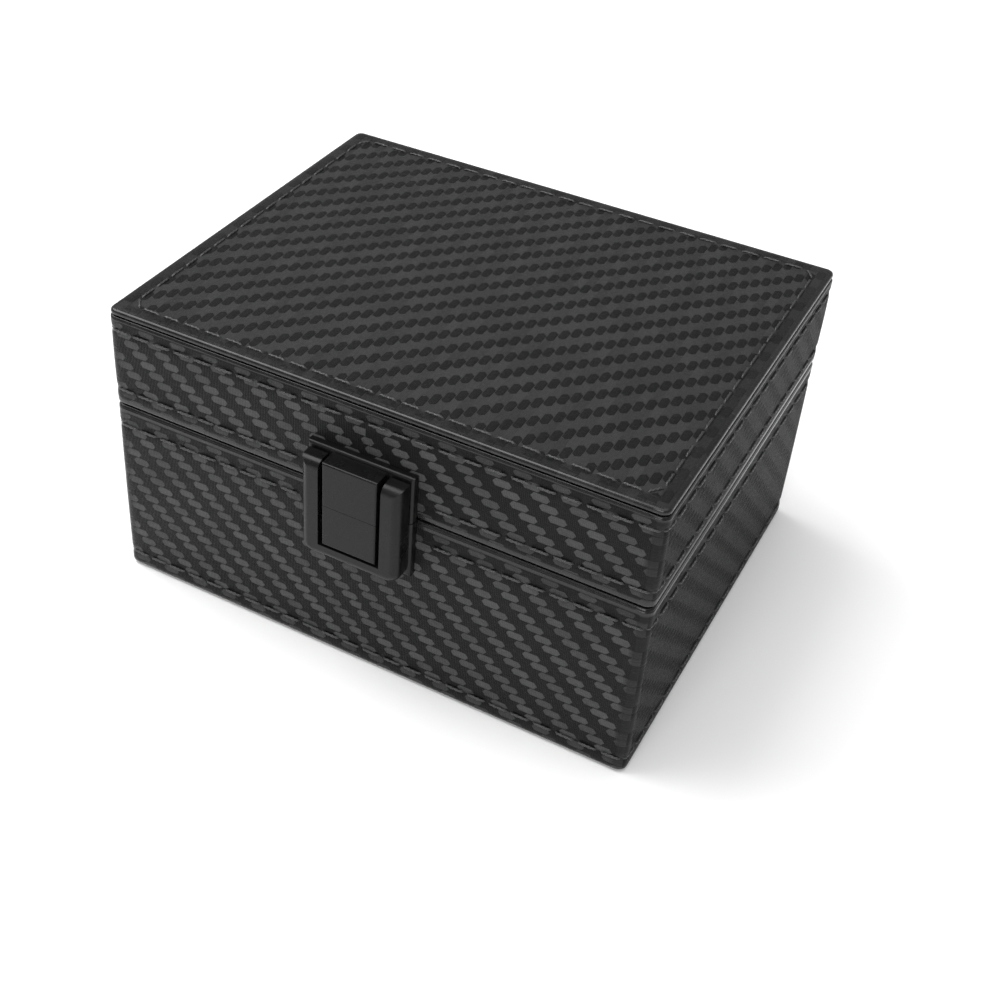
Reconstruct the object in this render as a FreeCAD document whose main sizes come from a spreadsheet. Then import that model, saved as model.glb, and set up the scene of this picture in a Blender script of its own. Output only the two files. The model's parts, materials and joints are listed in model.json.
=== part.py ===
import FreeCAD, Part
import math
import os

import Sketcher
from fcgear import fcgear, involute

# A leather-covered watch winder box with a hinged lid and a push-button clasp on the front.
# Frame: +Z up, -Y is the front, origin at the middle of the felt under the box.

SIZES = {
    # carcass
    "box_width": 180.0,
    "box_depth": 145.0,
    "box_height": 100.0,
    "seam_height": 65.7,
    "seam_gap": 0.3,
    "leather": 1.0,
    "wall": 5.0,
    "floor_board": 4.0,
    "felt": 1.0,
    "felt_inset": 4.0,
    "wrap_lift": 0.4,
    "lining": 0.8,
    "lid_board": 4.0,
    "ceiling_lining": 1.2,
    "top_panel": 2.3,
    "top_panel_inset": 0.3,
    "top_panel_round": 0.9,
    "corner_radius": 3.0,
    "rim_radius": 1.2,
    "soft_edge": 0.8,
    # leaning winder frame: the middle point of the two cup mouths
    "tilt": 35.0,
    "mouth_y": 0.0,
    "mouth_z": 61.0,
    "room_gap": 0.3,
    # turning cups and their drive
    "cup_radius": 36.0,
    "cup_wall": 2.5,
    "cup_depth": 30.0,
    "cup_flange": 2.6,
    "cup_flange_thick": 1.2,
    "gear_module": 1.0,
    "gear_teeth": 60,
    "pinion_teeth": 20,
    "pressure_angle": 20.0,
    "gear_play": 0.14,
    "gear_thick": 4.0,
    "gear_drop": 1.0,
    "gear_web_radius": 24.0,
    "gear_web_inner": 8.0,
    "gear_web_depth": 1.2,
    "shaft_radius": 3.0,
    "run_clearance": 0.05,
    "bush_radius": 5.0,
    "bush_flange": 2.0,
    "bush_flange_thick": 1.0,
    "bush_tail": 1.0,
    "clip_thick": 1.0,
    "clip_width": 2.6,
    "clip_gap": 0.1,
    "shaft_tail": 2.0,
    "flange_gap": 0.05,
    "plate_thick": 3.0,
    "plate_half_depth": 33.0,
    "plate_housing": 2.0,
    "motor_radius": 12.0,
    "motor_length": 17.0,
    "motor_boss_radius": 5.0,
    "motor_boss_height": 2.0,
    "motor_step": 1.5,
    "motor_cap": 4.0,
    "pinion_shaft_radius": 1.5,
    "pinion_grip": 3.0,
    "motor_screw_place": 8.5,
    "motor_screw_radius": 1.2,
    "motor_screw_head": 2.2,
    "motor_screw_head_thick": 1.0,
    "motor_screw_grip": 4.0,
    # velvet boards inside
    "deck_thick": 3.0,
    "deck_drop": 2.0,
    "deck_front": 81.0,
    "deck_back": 39.5,
    "deck_hole_gap": 1.0,
    "cheek_thick": 4.0,
    "cover_thick": 3.0,
    "board_gap": 0.1,
    # watch pillows
    "pillow_width": 37.0,
    "pillow_length": 50.0,
    "pillow_top": 5.0,
    "pillow_crown": 3.5,
    "pillow_waist": 2.0,
    # control
    "control_y": 53.0,
    "switch_side": 12.0,
    "switch_height": 8.0,
    "switch_neck_radius": 4.5,
    "knob_radius": 7.0,
    "knob_height": 6.5,
    "knob_gap": 0.4,
    "knob_stem_radius": 2.5,
    "knob_stem_depth": 5.0,
    "knob_round": 0.8,
    "knob_mark_width": 1.0,
    "knob_mark_depth": 0.4,
    "circuit_width": 42.0,
    "circuit_depth": 18.0,
    "circuit_thick": 1.6,
    "standoff_radius": 2.0,
    "standoff_place": 16.0,
    # power inlet on the rear wall
    "jack_x": 0.0,
    "jack_z": 22.0,
    "jack_radius": 4.0,
    "jack_flange_radius": 5.5,
    "jack_flange_thick": 1.5,
    "jack_length": 15.0,
    "jack_bore_radius": 3.0,
    "jack_bore_depth": 9.5,
    "jack_pin_radius": 1.0,
    "jack_nut_radius": 6.0,
    "jack_nut_thick": 2.5,
    # leads inside
    "lead_radius": 1.2,
    "lead_bend": 4.0,
    "lead_exit": 5.0,
    "power_lead_y": 54.0,
    "motor_lead_x": 8.0,
    "motor_lead_y": 53.5,
    "motor_lead_offset": 5.0,
    # hinges
    "hinge_x": 52.0,
    "leaf_width": 32.0,
    "leaf_depth": 4.6,
    "barrel_radius": 2.2,
    "barrel_gap": 0.3,
    "pin_radius": 1.0,
    "knuckle_half": 5.4,
    "knuckle_gap": 0.15,
    "notch_gap": 0.2,
    "screw_pitch": 10.0,
    "screw_radius": 0.75,
    "screw_head_radius": 1.5,
    "screw_head_depth": 0.75,
    "screw_length": 8.0,
    # clasp
    "clasp_plate_width": 35.0,
    "clasp_plate_thick": 2.5,
    "clasp_width": 33.0,
    "clasp_drop": 20.0,
    "clasp_rise": 14.6,
    "clasp_plate_rise": 16.3,
    "clasp_post_width": 6.2,
    "clasp_bar": 4.6,
    "clasp_front": 8.6,
    "clasp_corner": 4.0,
    "clasp_round": 2.8,
    "clasp_plate_round": 1.0,
    "overhang_gap": 0.4,
    "centre_width": 18.0,
    "centre_rise": 15.3,
    "button_gap": 0.7,
    "split_gap": 0.12,
    "centre_round": 0.6,
    "button_back": 4.2,
    "button_travel": 1.5,
    "button_flange": 2.2,
    "button_flange_thick": 1.0,
    "flange_low_drop": 13.6,
    "flange_high_drop": 4.7,
    "button_flange_gap": 0.1,
    "stem_radius": 2.2,
    "stem_drop": 9.7,
    "stem_reach": 2.0,
    "spring_radius": 3.1,
    "spring_wire": 0.6,
    "spring_pocket_gap": 0.3,
    "spring_pocket_depth": 3.0,
    "hook_width": 8.0,
    "hook_thick": 1.2,
    "hook_back": 0.2,
    "hook_height": 3.4,
    "hook_nose": 1.1,
    "hook_room": 0.4,
    "ledge_height": 1.5,
    "ledge_gap": 0.4,
    "ledge_depth": 1.4,
    "clasp_screw_x": 13.0,
    "clasp_screw_drop": 13.7,
    "strike_screw_rise": 8.3,
    "clasp_screw_radius": 1.0,
    "clasp_screw_head": 1.8,
    "clasp_screw_head_depth": 1.2,
    "clasp_screw_grip": 1.6,
}

doc = FreeCAD.newDocument("watch_winder_box")
sheet = doc.addObject("Spreadsheet::Sheet", "sizes")
for row, (alias, value) in enumerate(SIZES.items(), 1):
    sheet.set(f"A{row}", alias)
    sheet.set(f"B{row}", str(value))
    sheet.setAlias(f"B{row}", alias)
doc.recompute()

NEAR = 0.01
nodes = []

# Faces that many pieces share, from outside to inside
HALF_X = "(sizes.box_width / 2)"
HALF_Y = "(sizes.box_depth / 2)"
SHELL_X = f"({HALF_X} - sizes.leather)"
SHELL_Y = f"({HALF_Y} - sizes.leather)"
ROOM_X = f"({SHELL_X} - sizes.wall)"
ROOM_Y = f"({SHELL_Y} - sizes.wall)"
INNER_X = f"({ROOM_X} - sizes.lining)"
INNER_Y = f"({ROOM_Y} - sizes.lining)"
FLOOR_TOP = "(sizes.felt + sizes.floor_board)"
BASE_RIM = "(sizes.seam_height - sizes.seam_gap / 2)"
LID_RIM = "(sizes.seam_height + sizes.seam_gap / 2)"
LID_FRAME_TOP = "(sizes.box_height - sizes.top_panel)"
LID_BOARD_LOW = f"({LID_FRAME_TOP} - sizes.lid_board)"
HINGE_Y = f"({HALF_Y} + sizes.barrel_gap + sizes.barrel_radius)"

# Levels along the leaning winder axis, measured from the cup mouths
CUP_FLOOR = "(-sizes.cup_depth)"
GEAR_TOP = f"({CUP_FLOOR} - sizes.gear_drop)"
GEAR_LOW = f"({GEAR_TOP} - sizes.gear_thick)"
PLATE_TOP = f"({GEAR_LOW} - sizes.flange_gap - sizes.bush_flange_thick)"
PLATE_LOW = f"({PLATE_TOP} - sizes.plate_thick)"
BUSH_LOW = f"({PLATE_LOW} - sizes.bush_tail)"
CLIP_LOW = f"({BUSH_LOW} - sizes.clip_gap - sizes.clip_thick)"
MOTOR_LOW = f"({PLATE_LOW} - sizes.motor_length)"
DECK_TOP = "(-sizes.deck_drop)"
DECK_LOW = f"({DECK_TOP} - sizes.deck_thick)"
CUP_X = "(sizes.gear_module * (sizes.gear_teeth + sizes.pinion_teeth) / 2 + sizes.gear_play)"


def number(expression):
    return float(sheet.evalExpression(expression.replace("sizes.", "")))


def lean_y(along, level):
    return f"(sizes.mouth_y + ({along}) * cos(sizes.tilt) - ({level}) * sin(sizes.tilt))"


def lean_z(along, level):
    return f"(sizes.mouth_z + ({along}) * sin(sizes.tilt) + ({level}) * cos(sizes.tilt))"


def minus(expression):
    return f"(-({expression}))"


COVER_LOW = lean_z("sizes.deck_back", DECK_LOW)
COVER_TOP = f"({COVER_LOW} + sizes.cover_thick)"
COVER_FRONT = f"({lean_y('sizes.deck_back', DECK_LOW)} + sizes.board_gap)"
BOARD_X = f"({INNER_X} - sizes.room_gap)"
BOARD_Y = f"({INNER_Y} - sizes.room_gap)"


def new_body(label):
    body = doc.addObject("PartDesign::Body", label)
    body.Label = label
    nodes.append(body)
    return body


def block(body, low, high, cut=False):
    kind = "PartDesign::SubtractiveBox" if cut else "PartDesign::AdditiveBox"
    box = body.newObject(kind, "Block")
    for axis, side, start, end in zip("xyz", ("Length", "Width", "Height"), low, high):
        box.setExpression(side, f"({end}) - ({start})")
        box.setExpression(f"Placement.Base.{axis}", start)
    doc.recompute()
    return box


TURN_TO = {
    "x": FreeCAD.Rotation(FreeCAD.Vector(0, 1, 0), 90),
    "y": FreeCAD.Rotation(FreeCAD.Vector(1, 0, 0), -90),
    "z": FreeCAD.Rotation(),
}


def rod(body, radius, centre, length, axis="z", cut=False):
    """A cylinder that starts at centre and runs along the positive axis."""
    kind = "PartDesign::SubtractiveCylinder" if cut else "PartDesign::AdditiveCylinder"
    cylinder = body.newObject(kind, "Rod")
    cylinder.Placement = FreeCAD.Placement(FreeCAD.Vector(), TURN_TO[axis])
    cylinder.setExpression("Radius", radius)
    cylinder.setExpression("Height", length)
    for name, place in zip("xyz", centre):
        cylinder.setExpression(f"Placement.Base.{name}", place)
    doc.recompute()
    return cylinder


def upright_edges(shape, x_value, y_value):
    names = []
    for index, edge in enumerate(shape.Edges, 1):
        box = edge.BoundBox
        straight = box.XLength < NEAR and box.YLength < NEAR
        if straight and abs(abs(box.XMin) - x_value) < NEAR and abs(abs(box.YMin) - y_value) < NEAR:
            names.append(f"Edge{index}")
    return names


def flat_edges(shape, axis, value):
    names = []
    for index, edge in enumerate(shape.Edges, 1):
        low = getattr(edge.BoundBox, axis + "Min")
        high = getattr(edge.BoundBox, axis + "Max")
        if abs(low - value) < NEAR and abs(high - value) < NEAR:
            names.append(f"Edge{index}")
    return names


def round_edges(body, names, radius):
    fillet = body.newObject("PartDesign::Fillet", "Rounding")
    fillet.Base = (fillet.BaseFeature or body.Group[-2], names)
    fillet.setExpression("Radius", radius)
    doc.recompute()
    return fillet


def outline(body, role, points):
    """A closed sketch of straight lines through points given as pairs of expressions."""
    sketch = body.newObject("Sketcher::SketchObject", "Outline")
    plane = next(item for item in body.Origin.OriginFeatures if item.Role == role)
    sketch.AttachmentSupport = [(plane, "")]
    sketch.MapMode = "FlatFace"
    places = [FreeCAD.Vector(number(u), number(v), 0) for u, v in points]
    count = len(places)
    for index, place in enumerate(places):
        sketch.addGeometry(Part.LineSegment(place, places[(index + 1) % count]))
    for index in range(count):
        sketch.addConstraint(Sketcher.Constraint("Coincident", index, 2, (index + 1) % count, 1))
    for index, pair in enumerate(points):
        for kind, expression, axis in zip(("DistanceX", "DistanceY"), pair, (-2, -1)):
            if expression == "0":
                sketch.addConstraint(Sketcher.Constraint("PointOnObject", index, 1, axis))
                continue
            distance = Sketcher.Constraint(kind, -1, 1, index, 1, number(expression))
            place = sketch.addConstraint(distance)
            sketch.setExpression(f"Constraints[{place}]", expression)
    doc.recompute()
    return sketch


def turned(body, points):
    """A solid turned about the body's own Z from a half section of (radius, level) pairs."""
    sketch = outline(body, "XZ_Plane", points)
    feature = body.newObject("PartDesign::Revolution", "Turned")
    feature.Profile = sketch
    feature.ReferenceAxis = (sketch, ["V_Axis"])
    feature.Angle = 360
    doc.recompute()
    return feature


def lean(piece, x_place="0", level="0"):
    """Place a piece drawn along its own Z into the leaning winder frame, raised to a level."""
    axis = FreeCAD.Vector(1, 0, 0)
    piece.Placement = FreeCAD.Placement(FreeCAD.Vector(), FreeCAD.Rotation(axis, number("sizes.tilt")))
    piece.setExpression("Placement.Rotation.Angle", "sizes.tilt")
    piece.setExpression("Placement.Base.x", x_place)
    piece.setExpression("Placement.Base.y", lean_y("0", level))
    piece.setExpression("Placement.Base.z", lean_z("0", level))


def screws(label, places, shank, head, head_depth, length, rotation, countersunk):
    """Identical screws in one group: each place is the top of a head, the shank runs along -Z."""
    members = []
    for place in places:
        stem = doc.addObject("Part::Cylinder", "Shank")
        stem.setExpression("Radius", shank)
        stem.setExpression("Height", length)
        stem.setExpression("Placement.Base.z", minus(length))
        top = doc.addObject("Part::Cone", "Head")
        top.setExpression("Radius1", shank if countersunk else head)
        top.setExpression("Radius2", head)
        top.setExpression("Height", head_depth)
        top.setExpression("Placement.Base.z", minus(head_depth))
        screw = doc.addObject("Part::MultiFuse", "Screw")
        screw.Shapes = [stem, top]
        screw.Placement = FreeCAD.Placement(FreeCAD.Vector(), rotation)
        for axis, expression in zip("xyz", place):
            screw.setExpression(f"Placement.Base.{axis}", expression)
        members.append(screw)
    group = doc.addObject("Part::Compound", label)
    group.Label = label
    group.Links = members
    nodes.append(group)
    doc.recompute()
    return group


def gear_blank(teeth):
    """A solid involute spur gear on its own Z, from level 0 up."""
    builder = fcgear.FCWireBuilder()
    involute.CreateExternalGear(builder, number("sizes.gear_module"), teeth, number("sizes.pressure_angle"))
    wire = Part.Wire([curve.toShape() for curve in builder.wire])
    return Part.Face(wire).extrude(FreeCAD.Vector(0, 0, number("sizes.gear_thick")))


def fixed_shape(label, solid):
    piece = doc.addObject("Part::Feature", label)
    piece.Label = label
    piece.Shape = solid
    nodes.append(piece)
    return piece


# Carcass walls: four boards per half, the front and rear ones run the full width

def wall_boards(prefix, low, high):
    """Front, rear, left and right boards between two heights; returns them by name."""
    boards = {}
    for name, sign in (("front", -1), ("rear", 1)):
        board = new_body(f"{prefix}_{name}_wall")
        outer = SHELL_Y if sign > 0 else minus(SHELL_Y)
        inner = ROOM_Y if sign > 0 else minus(ROOM_Y)
        start, end = (inner, outer) if sign > 0 else (outer, inner)
        block(board, (minus(SHELL_X), start, low), (SHELL_X, end, high))
        corners = upright_edges(board.Shape, number(SHELL_X), number(SHELL_Y))
        round_edges(board, corners, "sizes.corner_radius - sizes.leather")
        boards[name] = board
    for name, sign in (("left", -1), ("right", 1)):
        board = new_body(f"{prefix}_{name}_wall")
        start, end = (ROOM_X, SHELL_X) if sign > 0 else (minus(SHELL_X), minus(ROOM_X))
        block(board, (start, minus(ROOM_Y), low), (end, ROOM_Y, high))
        boards[name] = board
    return boards


def wrap_ring(label, low, high, rim_low, rim_high):
    """The leather round the walls, folded over the rim that meets the other half."""
    wrap = new_body(label)
    block(wrap, (minus(HALF_X), minus(HALF_Y), low), (HALF_X, HALF_Y, high))
    round_edges(wrap, upright_edges(wrap.Shape, number(HALF_X), number(HALF_Y)), "sizes.corner_radius")
    rim = high if rim_high else low
    plain = low if rim_high else high
    round_edges(wrap, flat_edges(wrap.Shape, "Z", number(rim)), "sizes.rim_radius")
    inner_low = f"{low} + sizes.leather" if rim_low else low
    inner_high = f"{high} - sizes.leather" if rim_high else high
    block(wrap, (minus(SHELL_X), minus(SHELL_Y), inner_low), (SHELL_X, SHELL_Y, inner_high), cut=True)
    hollow = upright_edges(wrap.Shape, number(SHELL_X), number(SHELL_Y))
    round_edges(wrap, hollow, "sizes.corner_radius - sizes.leather")
    block(wrap, (minus(ROOM_X), minus(ROOM_Y), low), (ROOM_X, ROOM_Y, high), cut=True)
    outer = []
    for name in flat_edges(wrap.Shape, "Z", number(plain)):
        middle = wrap.Shape.getElement(name).CenterOfMass
        if abs(middle.x) > number(SHELL_X) + NEAR or abs(middle.y) > number(SHELL_Y) + NEAR:
            outer.append(name)
    round_edges(wrap, outer, "sizes.soft_edge")
    return wrap


WRAP_LOW = "(sizes.felt + sizes.wrap_lift)"
base = wall_boards("base", "sizes.felt", f"{BASE_RIM} - sizes.leather")
lid = wall_boards("lid", f"{LID_RIM} + sizes.leather", LID_BOARD_LOW)
base_wrap = wrap_ring("base_wrap", WRAP_LOW, BASE_RIM, False, True)
lid_wrap = wrap_ring("lid_wrap", LID_RIM, LID_FRAME_TOP, True, False)

base_floor = new_body("base_floor")
block(base_floor, (minus(ROOM_X), minus(ROOM_Y), "sizes.felt"), (ROOM_X, ROOM_Y, FLOOR_TOP))

base_felt = new_body("base_felt")
FELT_X = f"({HALF_X} - sizes.felt_inset)"
FELT_Y = f"({HALF_Y} - sizes.felt_inset)"
block(base_felt, (minus(FELT_X), minus(FELT_Y), "0"), (FELT_X, FELT_Y, "sizes.felt"))
felt_corners = upright_edges(base_felt.Shape, number(FELT_X), number(FELT_Y))
round_edges(base_felt, felt_corners, "sizes.corner_radius")

base_lining = new_body("base_lining")
block(base_lining, (minus(ROOM_X), minus(ROOM_Y), FLOOR_TOP), (ROOM_X, ROOM_Y, BASE_RIM))
block(base_lining, (minus(INNER_X), minus(INNER_Y), FLOOR_TOP), (INNER_X, INNER_Y, BASE_RIM), cut=True)

lid_lining = new_body("lid_lining")
CEILING = f"({LID_BOARD_LOW} - sizes.ceiling_lining)"
block(lid_lining, (minus(ROOM_X), minus(ROOM_Y), LID_RIM), (ROOM_X, ROOM_Y, LID_BOARD_LOW))
block(lid_lining, (minus(INNER_X), minus(INNER_Y), LID_RIM), (INNER_X, INNER_Y, CEILING), cut=True)

lid_board = new_body("lid_board")
block(lid_board, (minus(SHELL_X), minus(SHELL_Y), LID_BOARD_LOW), (SHELL_X, SHELL_Y, LID_FRAME_TOP))
board_corners = upright_edges(lid_board.Shape, number(SHELL_X), number(SHELL_Y))
round_edges(lid_board, board_corners, "sizes.corner_radius - sizes.leather")

lid_top_panel = new_body("lid_top_panel")
TOP_X = f"({HALF_X} - sizes.top_panel_inset)"
TOP_Y = f"({HALF_Y} - sizes.top_panel_inset)"
block(lid_top_panel, (minus(TOP_X), minus(TOP_Y), LID_FRAME_TOP), (TOP_X, TOP_Y, "sizes.box_height"))
top_corners = upright_edges(lid_top_panel.Shape, number(TOP_X), number(TOP_Y))
round_edges(lid_top_panel, top_corners, "sizes.corner_radius - sizes.top_panel_inset")
for level in ("sizes.box_height", LID_FRAME_TOP):
    round_edges(lid_top_panel, flat_edges(lid_top_panel.Shape, "Z", number(level)), "sizes.top_panel_round")


# Winder: two cups on upright-leaning shafts, both driven by one pinion between their gears

deck = new_body("winder_deck")
block(deck, (minus(BOARD_X), "-sizes.deck_front", DECK_LOW), (BOARD_X, "sizes.deck_back", DECK_TOP))
for x_place in (minus(CUP_X), CUP_X):
    hole = "sizes.cup_radius + sizes.deck_hole_gap"
    rod(deck, hole, (x_place, "0", DECK_LOW), "sizes.deck_thick", cut=True)
lean(deck)

bearing_plate = new_body("bearing_plate")
PLATE_X = f"({BOARD_X} - sizes.cheek_thick + sizes.plate_housing)"
block(
    bearing_plate,
    (minus(PLATE_X), "-sizes.plate_half_depth", PLATE_LOW),
    (PLATE_X, "sizes.plate_half_depth", PLATE_TOP),
)
for x_place in (minus(CUP_X), CUP_X):
    rod(bearing_plate, "sizes.bush_radius", (x_place, "0", PLATE_LOW), "sizes.plate_thick", cut=True)
rod(bearing_plate, "sizes.motor_boss_radius", ("0", "0", PLATE_LOW), "sizes.plate_thick", cut=True)
for sign in ("-", ""):
    place = (f"{sign}sizes.motor_screw_place", "0", PLATE_LOW)
    rod(bearing_plate, "sizes.motor_screw_radius", place, "sizes.plate_thick", cut=True)
lean(bearing_plate)

for side, sign in (("left", -1), ("right", 1)):
    cheek = new_body(f"{side}_cheek")
    front_y = lean_y("-sizes.deck_front", DECK_LOW)
    front_z = lean_z("-sizes.deck_front", DECK_LOW)
    back_y = lean_y("sizes.deck_back", DECK_LOW)
    profile = [
        (front_y, FLOOR_TOP),
        (BOARD_Y, FLOOR_TOP),
        (BOARD_Y, COVER_LOW),
        (back_y, COVER_LOW),
        (front_y, front_z),
    ]
    side_pad = cheek.newObject("PartDesign::Pad", "Side")
    side_pad.Profile = outline(cheek, "YZ_Plane", profile)
    side_pad.setExpression("Length", "sizes.cheek_thick")
    doc.recompute()
    housing = cheek.newObject("PartDesign::SubtractiveBox", "Housing")
    housing.setExpression("Length", "sizes.plate_housing")
    housing.setExpression("Width", "2 * sizes.plate_half_depth")
    housing.setExpression("Height", "sizes.plate_thick")
    tilt_now = FreeCAD.Rotation(FreeCAD.Vector(1, 0, 0), number("sizes.tilt"))
    housing.Placement = FreeCAD.Placement(FreeCAD.Vector(), tilt_now)
    housing.setExpression("Placement.Rotation.Angle", "sizes.tilt")
    housing_x = "0" if sign > 0 else "sizes.cheek_thick - sizes.plate_housing"
    housing.setExpression("Placement.Base.x", housing_x)
    housing.setExpression("Placement.Base.y", lean_y("-sizes.plate_half_depth", PLATE_LOW))
    housing.setExpression("Placement.Base.z", lean_z("-sizes.plate_half_depth", PLATE_LOW))
    outer_x = f"{BOARD_X} - sizes.cheek_thick" if sign > 0 else minus(BOARD_X)
    cheek.setExpression("Placement.Base.x", outer_x)
    doc.recompute()

rear_cover = new_body("rear_cover")
block(rear_cover, (minus(BOARD_X), COVER_FRONT, COVER_LOW), (BOARD_X, BOARD_Y, COVER_TOP))
cover_hole = ("0", "sizes.control_y", COVER_LOW)
rod(rear_cover, "sizes.switch_neck_radius", cover_hole, "sizes.cover_thick", cut=True)

CUP_INNER = "(sizes.cup_radius - sizes.cup_wall)"
CUP_FLOOR_TOP = f"({CUP_FLOOR} + sizes.cup_wall)"
FLANGE_RADIUS = "(sizes.cup_radius + sizes.cup_flange)"
CUP_SECTION = [
    ("sizes.shaft_radius", CUP_FLOOR),
    ("sizes.cup_radius", CUP_FLOOR),
    ("sizes.cup_radius", "-sizes.cup_flange_thick"),
    (FLANGE_RADIUS, "-sizes.cup_flange_thick"),
    (FLANGE_RADIUS, "0"),
    (CUP_INNER, "0"),
    (CUP_INNER, CUP_FLOOR_TOP),
    ("sizes.shaft_radius", CUP_FLOOR_TOP),
]
BUSH_BORE = "(sizes.shaft_radius + sizes.run_clearance)"
BUSH_FLANGE = "(sizes.bush_radius + sizes.bush_flange)"
BUSH_SECTION = [
    (BUSH_BORE, BUSH_LOW),
    ("sizes.bush_radius", BUSH_LOW),
    ("sizes.bush_radius", PLATE_TOP),
    (BUSH_FLANGE, PLATE_TOP),
    (BUSH_FLANGE, f"{PLATE_TOP} + sizes.bush_flange_thick"),
    (BUSH_BORE, f"{PLATE_TOP} + sizes.bush_flange_thick"),
]


def pillow(label):
    """A stuffed pillow: drawn-in sides and a crown, lofted through five rounded sections."""
    bottom = number(CUP_FLOOR_TOP)
    top = -number("sizes.pillow_top")
    crown = number("sizes.pillow_crown")
    waist = number("sizes.pillow_waist")
    half_width = number("sizes.pillow_width") / 2
    half_length = number("sizes.pillow_length") / 2
    height = top - bottom
    levels = [
        (bottom, 2 * waist),
        (bottom + crown, waist / 2),
        (bottom + height / 2, 0.0),
        (top - crown, waist / 2),
        (top, 3 * waist),
    ]
    sections = []
    for level, drawn_in in levels:
        wide = half_width - drawn_in
        long = half_length - drawn_in
        bend = long - wide
        left_end = FreeCAD.Vector(-wide, -bend, level)
        right_end = FreeCAD.Vector(wide, -bend, level)
        far_left = FreeCAD.Vector(-wide, bend, level)
        far_right = FreeCAD.Vector(wide, bend, level)
        near_tip = FreeCAD.Vector(0, -long, level)
        far_tip = FreeCAD.Vector(0, long, level)
        edges = [
            Part.Arc(left_end, near_tip, right_end).toShape(),
            Part.LineSegment(right_end, far_right).toShape(),
            Part.Arc(far_right, far_tip, far_left).toShape(),
            Part.LineSegment(far_left, left_end).toShape(),
        ]
        sections.append(Part.Wire(edges))
    return fixed_shape(label, Part.makeLoft(sections, True, False))


web_depth = number("sizes.gear_web_depth")
web = Part.makeCylinder(number("sizes.gear_web_radius"), web_depth)
web = web.cut(Part.makeCylinder(number("sizes.gear_web_inner"), web_depth))
gear_bore = Part.makeCylinder(number("sizes.shaft_radius"), number("sizes.gear_thick"))
cup_gear = gear_blank(int(number("sizes.gear_teeth"))).cut(gear_bore).cut(web)
for side, x_place in (("left", minus(CUP_X)), ("right", CUP_X)):
    cup = new_body(f"{side}_cup")
    turned(cup, CUP_SECTION)
    lean(cup, x_place)

    shaft = new_body(f"{side}_shaft")
    shaft_low = f"{CLIP_LOW} - sizes.shaft_tail"
    rod(shaft, "sizes.shaft_radius", ("0", "0", shaft_low), f"{CUP_FLOOR_TOP} - ({shaft_low})")
    lean(shaft, x_place)

    clip = new_body(f"{side}_shaft_clip")
    clip_outer = "sizes.shaft_radius + sizes.clip_width"
    rod(clip, clip_outer, ("0", "0", CLIP_LOW), "sizes.clip_thick")
    rod(clip, "sizes.shaft_radius", ("0", "0", CLIP_LOW), "sizes.clip_thick", cut=True)
    lean(clip, x_place)

    bush = new_body(f"{side}_bush")
    turned(bush, BUSH_SECTION)
    lean(bush, x_place)

    lean(fixed_shape(f"{side}_gear", cup_gear), x_place, GEAR_LOW)
    lean(pillow(f"{side}_pillow"), x_place)

half_tooth = 180 / number("sizes.pinion_teeth")
pinion_teeth = gear_blank(int(number("sizes.pinion_teeth")))
pinion_teeth = pinion_teeth.rotated(FreeCAD.Vector(), FreeCAD.Vector(0, 0, 1), half_tooth)
tail = number(f"{GEAR_LOW} - ({PLATE_LOW}) + sizes.pinion_grip")
stem = Part.makeCylinder(number("sizes.pinion_shaft_radius"), tail, FreeCAD.Vector(0, 0, -tail))
lean(fixed_shape("motor_pinion", pinion_teeth.fuse(stem)), "0", GEAR_LOW)

motor = new_body("drive_motor")
MOTOR_BORE = "(sizes.pinion_shaft_radius + sizes.run_clearance)"
MOTOR_BOSS_TOP = f"({PLATE_LOW} + sizes.motor_boss_height)"
MOTOR_GRIP_LOW = f"({PLATE_LOW} - sizes.pinion_grip - sizes.run_clearance)"
CAP_RADIUS = "(sizes.motor_radius - sizes.motor_step)"
turned(motor, [
    (MOTOR_BORE, MOTOR_BOSS_TOP),
    ("sizes.motor_boss_radius", MOTOR_BOSS_TOP),
    ("sizes.motor_boss_radius", PLATE_LOW),
    ("sizes.motor_radius", PLATE_LOW),
    ("sizes.motor_radius", f"{MOTOR_LOW} + sizes.motor_cap"),
    (CAP_RADIUS, f"{MOTOR_LOW} + sizes.motor_cap"),
    (CAP_RADIUS, MOTOR_LOW),
    ("0", MOTOR_LOW),
    ("0", MOTOR_GRIP_LOW),
    (MOTOR_BORE, MOTOR_GRIP_LOW),
])
for sign in ("-", ""):
    place = (f"{sign}sizes.motor_screw_place", "0", f"{PLATE_LOW} - sizes.motor_screw_grip")
    rod(motor, "sizes.motor_screw_radius", place, "sizes.motor_screw_grip", cut=True)
lean(motor)

MOTOR_HEAD = f"({PLATE_TOP} + sizes.motor_screw_head_thick)"
motor_screws = screws(
    "motor_screws",
    [(f"{sign}sizes.motor_screw_place", "0", MOTOR_HEAD) for sign in ("-", "")],
    "sizes.motor_screw_radius",
    "sizes.motor_screw_head",
    "sizes.motor_screw_head_thick",
    "(sizes.motor_screw_head_thick + sizes.plate_thick + sizes.motor_screw_grip)",
    FreeCAD.Rotation(),
    countersunk=False,
)
lean(motor_screws)


# Control: a rotary switch under the rear cover, its circuit board and the knob on top

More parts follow.
